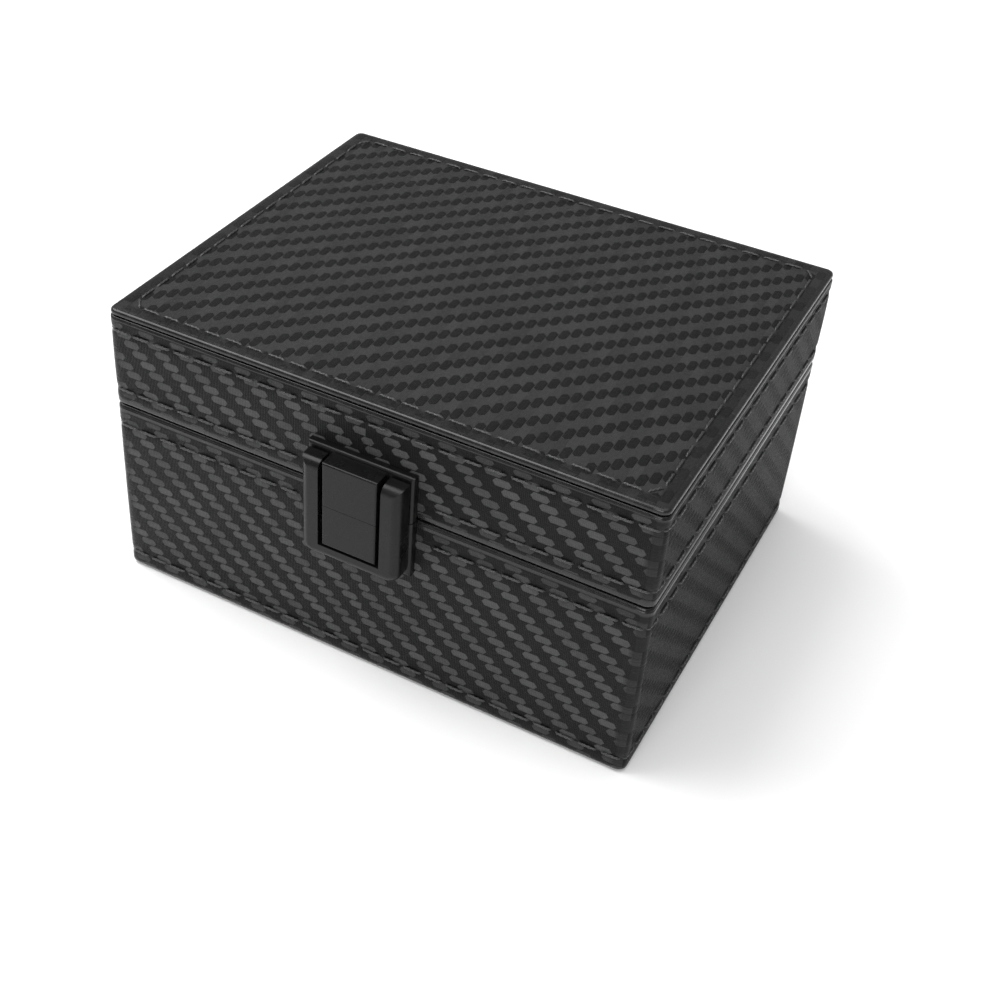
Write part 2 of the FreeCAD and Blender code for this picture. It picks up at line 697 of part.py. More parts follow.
switch = new_body("mode_switch")
SWITCH_HALF = "(sizes.switch_side / 2)"
SWITCH_LOW = f"({COVER_LOW} - sizes.switch_height)"
block(
    switch,
    (minus(SWITCH_HALF), f"sizes.control_y - {SWITCH_HALF}", SWITCH_LOW),
    (SWITCH_HALF, f"sizes.control_y + {SWITCH_HALF}", COVER_LOW),
)
switch_axis = ("0", "sizes.control_y", COVER_LOW)
rod(switch, "sizes.switch_neck_radius", switch_axis, "sizes.cover_thick")
STEM_LOW = f"({COVER_LOW} - sizes.knob_stem_depth)"
stem_bore = f"{COVER_TOP} - {STEM_LOW} + sizes.run_clearance"
bore_place = ("0", "sizes.control_y", f"{STEM_LOW} - sizes.run_clearance")
rod(switch, "sizes.knob_stem_radius + sizes.run_clearance", bore_place, stem_bore, cut=True)

knob = new_body("mode_knob")
KNOB_LOW = "sizes.knob_gap"
KNOB_TOP = "(sizes.knob_gap + sizes.knob_height)"
KNOB_STEM_LOW = "(-sizes.cover_thick - sizes.knob_stem_depth)"
turned(knob, [
    ("0", KNOB_STEM_LOW),
    ("sizes.knob_stem_radius", KNOB_STEM_LOW),
    ("sizes.knob_stem_radius", KNOB_LOW),
    ("sizes.knob_radius", KNOB_LOW),
    ("sizes.knob_radius", KNOB_TOP),
    ("0", KNOB_TOP),
])
round_edges(knob, flat_edges(knob.Shape, "Z", number(KNOB_TOP)), "sizes.knob_round")
block(
    knob,
    ("-sizes.knob_mark_width / 2", "-sizes.knob_radius", f"{KNOB_TOP} - sizes.knob_mark_depth"),
    ("sizes.knob_mark_width / 2", "-sizes.knob_radius / 3", KNOB_TOP),
    cut=True,
)
knob.setExpression("Placement.Base.y", "sizes.control_y")
knob.setExpression("Placement.Base.z", COVER_TOP)

circuit = new_body("control_board")
CIRCUIT_LOW = f"({SWITCH_LOW} - sizes.circuit_thick)"
block(
    circuit,
    ("-sizes.circuit_width / 2", "sizes.control_y - sizes.circuit_depth / 2", CIRCUIT_LOW),
    ("sizes.circuit_width / 2", "sizes.control_y + sizes.circuit_depth / 2", SWITCH_LOW),
)
for side, sign in (("left", "-"), ("right", "")):
    standoff = new_body(f"{side}_standoff")
    place = (f"{sign}sizes.standoff_place", "sizes.control_y", SWITCH_LOW)
    rod(standoff, "sizes.standoff_radius", place, "sizes.switch_height")


# Power inlet through the rear wall

jack = new_body("power_jack")
jack_outer = f"{HALF_Y} + sizes.jack_flange_thick"
rod(jack, "sizes.jack_flange_radius", ("sizes.jack_x", HALF_Y, "sizes.jack_z"), "sizes.jack_flange_thick", "y")
JACK_IN = f"({jack_outer} - sizes.jack_length)"
rod(jack, "sizes.jack_radius", ("sizes.jack_x", JACK_IN, "sizes.jack_z"), f"{HALF_Y} - {JACK_IN}", "y")
bore_start = f"{jack_outer} - sizes.jack_bore_depth"
bore_place = ("sizes.jack_x", bore_start, "sizes.jack_z")
rod(jack, "sizes.jack_bore_radius", bore_place, "sizes.jack_bore_depth", "y", cut=True)
rod(jack, "sizes.jack_pin_radius", bore_place, "sizes.jack_bore_depth", "y")

jack_nut = new_body("jack_nut")
NUT_END = ROOM_Y
nut_place = ("sizes.jack_x", f"{NUT_END} - sizes.jack_nut_thick", "sizes.jack_z")
rod(jack_nut, "sizes.jack_nut_radius", nut_place, "sizes.jack_nut_thick", "y")
rod(jack_nut, "sizes.jack_radius", nut_place, "sizes.jack_nut_thick", "y", cut=True)

wall_hole = ("sizes.jack_x", INNER_Y, "sizes.jack_z")
for piece in (base["rear"], base_wrap):
    rod(piece, "sizes.jack_radius", wall_hole, f"{HALF_Y} - {INNER_Y}", "y", cut=True)
rod(base_lining, "sizes.jack_nut_radius", wall_hole, "sizes.lining", "y", cut=True)


# Leads: from the inlet up to the circuit board, and from the motor up to it

def lead(label, points):
    """A round lead along straight runs joined by arcs at the inner points."""
    bend = number("sizes.lead_bend")
    edges = []
    start = points[0]
    for index in range(1, len(points) - 1):
        corner = points[index]
        back = (points[index - 1] - corner).normalize()
        ahead = (points[index + 1] - corner).normalize()
        half_angle = math.acos(back.dot(ahead)) / 2
        reach = bend / math.tan(half_angle)
        first = corner + back * reach
        last = corner + ahead * reach
        middle = (back + ahead).normalize()
        through = corner + middle * (bend / math.sin(half_angle) - bend)
        edges.append(Part.LineSegment(start, first).toShape())
        edges.append(Part.Arc(first, through, last).toShape())
        start = last
    edges.append(Part.LineSegment(start, points[-1]).toShape())
    path = Part.Wire(edges)
    heading = (points[1] - points[0]).normalize()
    ring = Part.Wire([Part.makeCircle(number("sizes.lead_radius"), points[0], heading)])
    return fixed_shape(label, path.makePipeShell([ring], True, False))


jack_end = FreeCAD.Vector(number("sizes.jack_x"), number(JACK_IN), number("sizes.jack_z"))
rise_foot = FreeCAD.Vector(jack_end.x, number("sizes.power_lead_y"), jack_end.z)
rise_top = FreeCAD.Vector(jack_end.x, rise_foot.y, number(CIRCUIT_LOW))
lead("power_lead", [jack_end, rise_foot, rise_top])

tilt_angle = math.radians(number("sizes.tilt"))
down_axis = FreeCAD.Vector(0, math.sin(tilt_angle), -math.cos(tilt_angle))
terminal = FreeCAD.Vector(
    0,
    number(lean_y("sizes.motor_lead_offset", MOTOR_LOW)),
    number(lean_z("sizes.motor_lead_offset", MOTOR_LOW)),
)
out = terminal + down_axis * number("sizes.lead_exit")
foot_z = terminal.z + number("sizes.lead_exit")
foot = FreeCAD.Vector(number("sizes.motor_lead_x"), number("sizes.motor_lead_y"), foot_z)
head = FreeCAD.Vector(foot.x, foot.y, number(CIRCUIT_LOW))
lead("motor_lead", [terminal, out, foot, head])


# Hinges: two butt hinges let into the rims, with the barrels outside the rear wall

LEAF_HALF = "(sizes.leaf_width / 2)"
KNUCKLE_EDGE = "(sizes.knuckle_half + sizes.knuckle_gap)"
LEAF_FRONT = f"({SHELL_Y} - sizes.leaf_depth)"
RELIEF_Y = f"({HALF_Y} - sizes.run_clearance)"
PAST_BARREL = f"({HINGE_Y} + 2 * sizes.barrel_radius)"


def hinge_leaf(label, centre, plate_low, plate_high, outer_knuckles):
    leaf = new_body(label)
    left = f"{centre} - {LEAF_HALF}"
    right = f"{centre} + {LEAF_HALF}"
    block(leaf, (left, LEAF_FRONT, plate_low), (right, HINGE_Y, plate_high))
    inner_left = f"{centre} - {KNUCKLE_EDGE}"
    inner_right = f"{centre} + {KNUCKLE_EDGE}"
    middle_left = f"{centre} - sizes.knuckle_half"
    middle_right = f"{centre} + sizes.knuckle_half"
    if outer_knuckles:
        reliefs = [(inner_left, inner_right)]
        knuckles = [(left, inner_left), (inner_right, right)]
    else:
        reliefs = [(left, middle_left), (middle_right, right)]
        knuckles = [(middle_left, middle_right)]
    for start, end in reliefs:
        block(leaf, (start, RELIEF_Y, plate_low), (end, PAST_BARREL, plate_high), cut=True)
    for start, end in knuckles:
        place = (start, HINGE_Y, "sizes.seam_height")
        rod(leaf, "sizes.barrel_radius", place, f"({end}) - ({start})", "x")
    bore = "sizes.pin_radius" if outer_knuckles else "sizes.pin_radius + sizes.run_clearance"
    rod(leaf, bore, (left, HINGE_Y, "sizes.seam_height"), "sizes.leaf_width", "x", cut=True)
    return leaf


SCREW_Y = f"({SHELL_Y} - sizes.wall / 2)"
HINGE_CENTRES = (("left", "(-sizes.hinge_x)"), ("right", "sizes.hinge_x"))
UP = FreeCAD.Rotation()
DOWN = FreeCAD.Rotation(FreeCAD.Vector(1, 0, 0), 180)


def screw_places(level):
    places = []
    for _, centre in HINGE_CENTRES:
        for step in (-1, 0, 1):
            places.append((f"{centre} + {step} * sizes.screw_pitch", SCREW_Y, level))
    return places


def countersink(body, places, down):
    """Holes for the screws: a pilot bore and, where the head lies, its cone."""
    for place in places:
        hole = body.newObject("PartDesign::SubtractiveCone", "Countersink")
        hole.setExpression("Radius1", "sizes.screw_radius")
        hole.setExpression("Radius2", "sizes.screw_head_radius")
        hole.setExpression("Height", "sizes.screw_head_depth")
        sign = "-" if down else "+"
        hole.Placement = FreeCAD.Placement(FreeCAD.Vector(), UP if down else DOWN)
        hole.setExpression("Placement.Base.x", place[0])
        hole.setExpression("Placement.Base.y", place[1])
        hole.setExpression("Placement.Base.z", f"{place[2]} {sign} sizes.screw_head_depth")
        pilot(body, place, down)


def pilot(body, place, down):
    start = f"{place[2]} - sizes.screw_length" if down else place[2]
    rod(body, "sizes.screw_radius", (place[0], place[1], start), "sizes.screw_length", cut=True)


base_screw_places = screw_places(BASE_RIM)
lid_screw_places = screw_places(LID_RIM)
for index, (side, centre) in enumerate(HINGE_CENTRES):
    lower = hinge_leaf(f"{side}_hinge_base_leaf", centre, f"{BASE_RIM} - sizes.leather", BASE_RIM, True)
    upper = hinge_leaf(f"{side}_hinge_lid_leaf", centre, LID_RIM, f"{LID_RIM} + sizes.leather", False)
    countersink(lower, base_screw_places[3 * index:3 * index + 3], True)
    countersink(upper, lid_screw_places[3 * index:3 * index + 3], False)
    hinge_pin = new_body(f"{side}_hinge_pin")
    pin_place = (f"{centre} - {LEAF_HALF}", HINGE_Y, "sizes.seam_height")
    rod(hinge_pin, "sizes.pin_radius", pin_place, "sizes.leaf_width", "x")
    notch_left = f"{centre} - {LEAF_HALF} - sizes.notch_gap"
    notch_right = f"{centre} + {LEAF_HALF} + sizes.notch_gap"
    notch_front = f"{LEAF_FRONT} - sizes.notch_gap"
    block(
        base_wrap,
        (notch_left, notch_front, f"{BASE_RIM} - sizes.leather"),
        (notch_right, HINGE_Y, BASE_RIM),
        cut=True,
    )
    block(
        lid_wrap,
        (notch_left, notch_front, LID_RIM),
        (notch_right, HINGE_Y, f"{LID_RIM} + sizes.leather"),
        cut=True,
    )
for place in base_screw_places:
    pilot(base["rear"], place, True)
for place in lid_screw_places:
    pilot(lid["rear"], place, False)
HINGE_SCREW = ("sizes.screw_radius", "sizes.screw_head_radius", "sizes.screw_head_depth", "sizes.screw_length")
screws("hinge_base_screws", base_screw_places, *HINGE_SCREW, UP, countersunk=True)
screws("hinge_lid_screws", lid_screw_places, *HINGE_SCREW, DOWN, countersunk=True)


# Clasp: plate and U-shaped frame on the base, push button between the posts, strike on the lid

def out_from_front(depth):
    return f"(-{HALF_Y} - ({depth}))"


FACE = out_from_front("0")
PLATE_FACE = out_from_front("sizes.clasp_plate_thick")
CLASP_FACE = out_from_front("sizes.clasp_front")
PLATE_HALF = "(sizes.clasp_plate_width / 2)"
CLASP_HALF = "(sizes.clasp_width / 2)"
POST_INNER = "(sizes.clasp_width / 2 - sizes.clasp_post_width)"
CENTRE_HALF = "(sizes.centre_width / 2)"
CLASP_LOW = "(sizes.seam_height - sizes.clasp_drop)"
CLASP_HIGH = "(sizes.seam_height + sizes.clasp_rise)"
PLATE_HIGH = "(sizes.seam_height + sizes.clasp_plate_rise)"
CENTRE_HIGH = "(sizes.seam_height + sizes.centre_rise)"
FLANGE_LOW = "(sizes.seam_height - sizes.flange_low_drop)"
FLANGE_HIGH = "(sizes.seam_height - sizes.flange_high_drop)"
STEM_LEVEL = "(sizes.seam_height - sizes.stem_drop)"
CLASP_SCREW_LEVEL = "(sizes.seam_height - sizes.clasp_screw_drop)"
STRIKE_SCREW_LEVEL = "(sizes.seam_height + sizes.strike_screw_rise)"
BAR_TOP = f"({CLASP_LOW} + sizes.clasp_bar)"

clasp_plate = new_body("clasp_plate")
block(clasp_plate, (minus(PLATE_HALF), PLATE_FACE, CLASP_LOW), (PLATE_HALF, FACE, BASE_RIM))
plate_edges = flat_edges(clasp_plate.Shape, "Y", number(PLATE_FACE))
low_edges = [
    name for name in plate_edges
    if clasp_plate.Shape.getElement(name).CenterOfMass.z < number(BASE_RIM) - NEAR
]
round_edges(clasp_plate, low_edges, "sizes.clasp_plate_round")

strike = new_body("lid_strike")
block(strike, (minus(PLATE_HALF), PLATE_FACE, LID_RIM), (PLATE_HALF, FACE, PLATE_HIGH))
strike_edges = [
    name for name in flat_edges(strike.Shape, "Y", number(PLATE_FACE))
    if strike.Shape.getElement(name).CenterOfMass.z > number(LID_RIM) + NEAR
]
round_edges(strike, strike_edges, "sizes.clasp_plate_round")
STRIKE_LOW = "(sizes.seam_height + sizes.split_gap / 2)"
block(strike, (minus(CENTRE_HALF), CLASP_FACE, STRIKE_LOW), (CENTRE_HALF, FACE, CENTRE_HIGH))
strike_front = [
    name for name in flat_edges(strike.Shape, "Y", number(CLASP_FACE))
    if strike.Shape.getElement(name).CenterOfMass.z > number(STRIKE_LOW) + NEAR
]
round_edges(strike, strike_front, "sizes.centre_round")
HOOK_HALF = "(sizes.hook_width / 2)"
HOOK_BACK = "(sizes.button_back + sizes.hook_back)"
HOOK_FRONT = f"({HOOK_BACK} + sizes.hook_thick)"
NOSE_FRONT = f"({HOOK_FRONT} + sizes.hook_nose - sizes.ledge_gap)"
LEDGE_BACK = f"({HOOK_FRONT} + sizes.hook_nose)"
ROOM_SIDE = f"({HOOK_HALF} + sizes.hook_room)"
ROOM_BACK = f"({HOOK_BACK} - sizes.button_travel - sizes.hook_room)"
ROOM_HIGH = f"({BASE_RIM} + sizes.hook_height + 2 * sizes.hook_room)"
LEDGE_TOP = f"({STRIKE_LOW} + sizes.ledge_height)"
block(
    strike,
    (minus(ROOM_SIDE), out_from_front(LEDGE_BACK), STRIKE_LOW),
    (ROOM_SIDE, out_from_front(ROOM_BACK), ROOM_HIGH),
    cut=True,
)
block(
    strike,
    (minus(ROOM_SIDE), out_from_front(f"{LEDGE_BACK} + sizes.ledge_depth"), LEDGE_TOP),
    (ROOM_SIDE, out_from_front(LEDGE_BACK), ROOM_HIGH),
    cut=True,
)

frame = new_body("clasp_frame")
OVER_LID = out_from_front("sizes.clasp_plate_thick + sizes.overhang_gap")
FLANGE_FRONT = "(sizes.button_back + sizes.button_flange_thick)"
REBATE_FRONT = f"({FLANGE_FRONT} + sizes.button_flange_gap)"
REBATE_SIDE = f"({CENTRE_HALF} + sizes.button_flange + sizes.overhang_gap)"
block(
    frame,
    (minus(CLASP_HALF), CLASP_FACE, CLASP_LOW),
    (CLASP_HALF, PLATE_FACE, CLASP_HIGH),
)
block(frame, (minus(POST_INNER), CLASP_FACE, BAR_TOP), (POST_INNER, PLATE_FACE, CLASP_HIGH), cut=True)
foot_corners = [
    f"Edge{index}" for index, edge in enumerate(frame.Shape.Edges, 1)
    if edge.BoundBox.XLength < NEAR and edge.BoundBox.ZLength < NEAR
    and abs(edge.BoundBox.ZMin - number(CLASP_LOW)) < NEAR
]
round_edges(frame, foot_corners, "sizes.clasp_corner")
outer_rim = []
for name in flat_edges(frame.Shape, "Y", number(CLASP_FACE)):
    middle = frame.Shape.getElement(name).CenterOfMass
    inside = abs(middle.x) < number(POST_INNER) + NEAR and middle.z > number(CLASP_LOW) + NEAR
    if not inside:
        outer_rim.append(name)
round_edges(frame, outer_rim, "sizes.clasp_round")
block(
    frame,
    (minus(CLASP_HALF), OVER_LID, f"{BASE_RIM} - sizes.overhang_gap"),
    (CLASP_HALF, PLATE_FACE, CLASP_HIGH),
    cut=True,
)
block(
    frame,
    (minus(REBATE_SIDE), out_from_front(REBATE_FRONT), BAR_TOP),
    (REBATE_SIDE, PLATE_FACE, f"{FLANGE_HIGH} + sizes.overhang_gap"),
    cut=True,
)

button = new_body("clasp_button")
BUTTON_LOW = f"({BAR_TOP} + sizes.button_gap)"
BUTTON_HIGH = "(sizes.seam_height - sizes.split_gap / 2)"
BUTTON_BACK = out_from_front("sizes.button_back")
block(button, (minus(CENTRE_HALF), CLASP_FACE, BUTTON_LOW), (CENTRE_HALF, BUTTON_BACK, BUTTON_HIGH))
button_front = [
    name for name in flat_edges(button.Shape, "Y", number(CLASP_FACE))
    if button.Shape.getElement(name).CenterOfMass.z < number(BUTTON_HIGH) - NEAR
]
round_edges(button, button_front, "sizes.centre_round")
FLANGE_HALF = f"({CENTRE_HALF} + sizes.button_flange)"
block(
    button,
    (minus(FLANGE_HALF), out_from_front(FLANGE_FRONT), FLANGE_LOW),
    (FLANGE_HALF, BUTTON_BACK, FLANGE_HIGH),
)
POCKET_FRONT = "(sizes.button_back + sizes.spring_pocket_depth)"
POCKET_RADIUS = "(sizes.spring_radius + sizes.spring_pocket_gap)"
pocket_place = ("0", out_from_front(POCKET_FRONT), STEM_LEVEL)
rod(button, POCKET_RADIUS, pocket_place, "sizes.spring_pocket_depth", "y", cut=True)
STEM_IN = "(sizes.stem_reach)"
rod(button, "sizes.stem_radius", pocket_place, f"{POCKET_FRONT} + {STEM_IN}", "y")
block(
    button,
    (minus(HOOK_HALF), out_from_front(HOOK_FRONT), f"{BUTTON_HIGH} - sizes.hook_height"),
    (HOOK_HALF, out_from_front(HOOK_BACK), f"{BASE_RIM} + sizes.hook_height"),
)
block(
    button,
    (minus(HOOK_HALF), out_from_front(NOSE_FRONT), f"{LEDGE_TOP} + sizes.hook_room"),
    (HOOK_HALF, out_from_front(HOOK_BACK), f"{BASE_RIM} + sizes.hook_height"),
)

STEM_BORE = "(sizes.stem_radius + sizes.run_clearance)"
STEM_END = "(sizes.stem_reach + sizes.button_travel + sizes.hook_room)"
stem_place = ("0", PLATE_FACE, STEM_LEVEL)
for piece in (clasp_plate, base_wrap, base["front"]):
    rod(piece, STEM_BORE, stem_place, f"sizes.clasp_plate_thick + {STEM_END}", "y", cut=True)

spring = new_body("button_spring")
spring_length = "sizes.button_back + sizes.spring_pocket_depth - sizes.clasp_plate_thick - sizes.button_travel"
SPRING_START = f"(-{HALF_Y} - sizes.clasp_plate_thick - ({spring_length}))"
spring_place = ("0", SPRING_START, STEM_LEVEL)
rod(spring, "sizes.spring_radius", spring_place, spring_length, "y")
rod(spring, "sizes.spring_radius - sizes.spring_wire", spring_place, spring_length, "y", cut=True)

INWARD = FreeCAD.Rotation(FreeCAD.Vector(1, 0, 0), -90)
CLASP_SCREW = (
    "sizes.clasp_screw_radius",
    "sizes.clasp_screw_head",
    "sizes.clasp_screw_head_depth",
    "(sizes.wall + sizes.leather + sizes.clasp_screw_grip)",
)
for label, level, pieces in (
    ("clasp_screws", CLASP_SCREW_LEVEL, (clasp_plate, base_wrap, base["front"])),
    ("strike_screws", STRIKE_SCREW_LEVEL, (strike, lid_wrap, lid["front"])),
):
    places = [(f"{sign}sizes.clasp_screw_x", minus(ROOM_Y), level) for sign in ("-", "")]
    screws(label, places, *CLASP_SCREW, INWARD, countersunk=False)
    for place in places:
        start = (place[0], f"-{ROOM_Y} - {CLASP_SCREW[3]}", place[2])
        for piece in pieces:
            rod(piece, "sizes.clasp_screw_radius", start, CLASP_SCREW[3], "y", cut=True)
        head_start = (place[0], f"-{ROOM_Y} - sizes.clasp_screw_head_depth", place[2])
        rod(pieces[2], "sizes.clasp_screw_head", head_start, "sizes.clasp_screw_head_depth", "y", cut=True)


# Every object has to be whole before anything is written

doc.recompute()
for item in doc.Objects:
    if "Invalid" in item.State or "Error" in item.State:
        raise RuntimeError(f"{item.Label} failed: {item.State}")
os.makedirs("parts", exist_ok=True)
for node in nodes:
    shape = node.Shape
    if shape.isNull() or not shape.isValid():
        raise RuntimeError(f"{node.Label} has no sound shape")
    shape.exportStep(f"parts/{node.Label}.step")
    print(node.Label, len(shape.Solids), round(shape.Volume, 1))
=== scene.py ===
import json
import math
import random

import bmesh
import bpy
from mathutils import Matrix, Vector


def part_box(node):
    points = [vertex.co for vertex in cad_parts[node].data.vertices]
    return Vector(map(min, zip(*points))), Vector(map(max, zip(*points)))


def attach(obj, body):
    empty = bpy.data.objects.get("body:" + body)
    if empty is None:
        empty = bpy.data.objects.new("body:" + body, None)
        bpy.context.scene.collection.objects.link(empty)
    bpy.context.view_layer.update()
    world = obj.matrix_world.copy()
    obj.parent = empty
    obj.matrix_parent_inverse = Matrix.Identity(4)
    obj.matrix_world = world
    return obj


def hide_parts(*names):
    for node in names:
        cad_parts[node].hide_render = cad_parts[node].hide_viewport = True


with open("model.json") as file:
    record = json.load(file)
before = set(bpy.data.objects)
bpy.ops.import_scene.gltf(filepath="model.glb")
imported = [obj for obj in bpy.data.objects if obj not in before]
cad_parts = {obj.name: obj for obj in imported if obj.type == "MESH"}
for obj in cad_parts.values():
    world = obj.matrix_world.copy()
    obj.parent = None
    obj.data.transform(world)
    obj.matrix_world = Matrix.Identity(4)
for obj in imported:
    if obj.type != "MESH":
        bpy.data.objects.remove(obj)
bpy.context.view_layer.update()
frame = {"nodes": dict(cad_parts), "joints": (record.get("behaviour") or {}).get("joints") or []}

nodes = frame["nodes"]
MM = 0.001


# Carcass boards
# Five-millimetre fibreboard, sawn and glued into two open boxes, the base and the lid.
# The raw board is dull brown and speckled; leather outside and velvet inside hide nearly all of it.

def new_material(name):
    material = bpy.data.materials.new(name)
    material.use_nodes = True
    tree = material.node_tree
    return material, tree, tree.nodes["Principled BSDF"]


def add_node(tree, kind, settings=None, **inputs):
    """A shader node with its settings; i0, i1 and so on give its inputs a value or a link."""
    node = tree.nodes.new(kind)
    for key, value in (settings or {}).items():
        setattr(node, key, value)
    for key, value in inputs.items():
        socket = node.inputs[int(key[1:])]
        if isinstance(value, bpy.types.NodeSocket):
            tree.links.new(value, socket)
        else:
            socket.default_value = value
    return node


def math_node(tree, operation, first, second=0.0):
    return add_node(tree, "ShaderNodeMath", {"operation": operation}, i0=first, i1=second).outputs[0]


def ramp_between(tree, value, low, high, out_low=0.0, out_high=1.0):
    settings = {"interpolation_type": "SMOOTHSTEP"}
    limits = {"i1": low, "i2": high, "i3": out_low, "i4": out_high}
    return add_node(tree, "ShaderNodeMapRange", settings, i0=value, **limits).outputs[0]


def noise_node(tree, place, scale, detail):
    return add_node(tree, "ShaderNodeTexNoise", None, i0=place, i2=scale, i3=detail).outputs[0]


def grain_group():
    """Noise at a stated scale and stretch: a fine grain and a broader unevenness."""
    fine_detail = 5.0
    broad_scale, broad_detail = 90.0, 3.0
    group = bpy.data.node_groups.new("FineGrain", "ShaderNodeTree")
    group.interface.new_socket("Scale", in_out="INPUT", socket_type="NodeSocketFloat")
    group.interface.new_socket("Stretch", in_out="INPUT", socket_type="NodeSocketVector")
    for name in ("Grain", "Uneven"):
        group.interface.new_socket(name, in_out="OUTPUT", socket_type="NodeSocketFloat")
    source = group.nodes.new("NodeGroupInput")
    target = group.nodes.new("NodeGroupOutput")
    coords = add_node(group, "ShaderNodeTexCoord").outputs["Object"]
    stretch = source.outputs["Stretch"]
    pulled = add_node(group, "ShaderNodeVectorMath", {"operation": "MULTIPLY"}, i0=coords, i1=stretch)
    fine = noise_node(group, pulled.outputs[0], source.outputs["Scale"], fine_detail)
    broad = noise_node(group, coords, broad_scale, broad_detail)
    group.links.new(fine, target.inputs["Grain"])
    group.links.new(broad, target.inputs["Uneven"])
    return group


fine_grain = grain_group()


def grained(name, dark, light, scale, roughness, relief, stretch=(1, 1, 1)):
    """A finish whose colour and relief follow the grain and whose gloss is a little uneven."""
    grain_low, grain_high = 0.35, 0.65
    uneven_low, uneven_high = 0.3, 0.7
    smoothest, dullest = roughness - 0.06, roughness + 0.08
    relief_strength = 0.5
    specular = 0.3
    material, tree, shader = new_material(name)
    grain = add_node(tree, "ShaderNodeGroup", {"node_tree": fine_grain})
    grain.inputs["Scale"].default_value = scale
    grain.inputs["Stretch"].default_value = stretch
    spread = ramp_between(tree, grain.outputs["Grain"], grain_low, grain_high)
    colour = add_node(tree, "ShaderNodeMix", {"data_type": "RGBA"}, i0=spread)
    colour.inputs[6].default_value = (*dark, 1)
    colour.inputs[7].default_value = (*light, 1)
    tree.links.new(colour.outputs[2], shader.inputs["Base Color"])
    rough = ramp_between(tree, grain.outputs["Uneven"], uneven_low, uneven_high, smoothest, dullest)
    tree.links.new(rough, shader.inputs["Roughness"])
    bump = add_node(tree, "ShaderNodeBump")
    bump.inputs["Strength"].default_value = relief_strength
    bump.inputs["Distance"].default_value = relief
    tree.links.new(grain.outputs["Grain"], bump.inputs["Height"])
    tree.links.new(bump.outputs[0], shader.inputs["Normal"])
    shader.inputs["Specular IOR Level"].default_value = specular
    return material, shader


def dress(material, *names):
    """Puts one finish on whole CAD nodes."""
    for name in names:
        slots = nodes[name].data.materials
        slots.clear()
        slots.append(material)
        for polygon in nodes[name].data.polygons:
            polygon.material_index = 0


SIDES = ("left", "right")
fibreboard, _ = grained("fibreboard", (0.30, 0.21, 0.13), (0.42, 0.31, 0.20), 1200.0, 0.85, 0.1 * MM)
dress(fibreboard, "base_floor", "lid_board")
for half in ("base", "lid"):
    dress(fibreboard, *(f"{half}_{wall}_wall" for wall in ("front", "rear", *SIDES)))
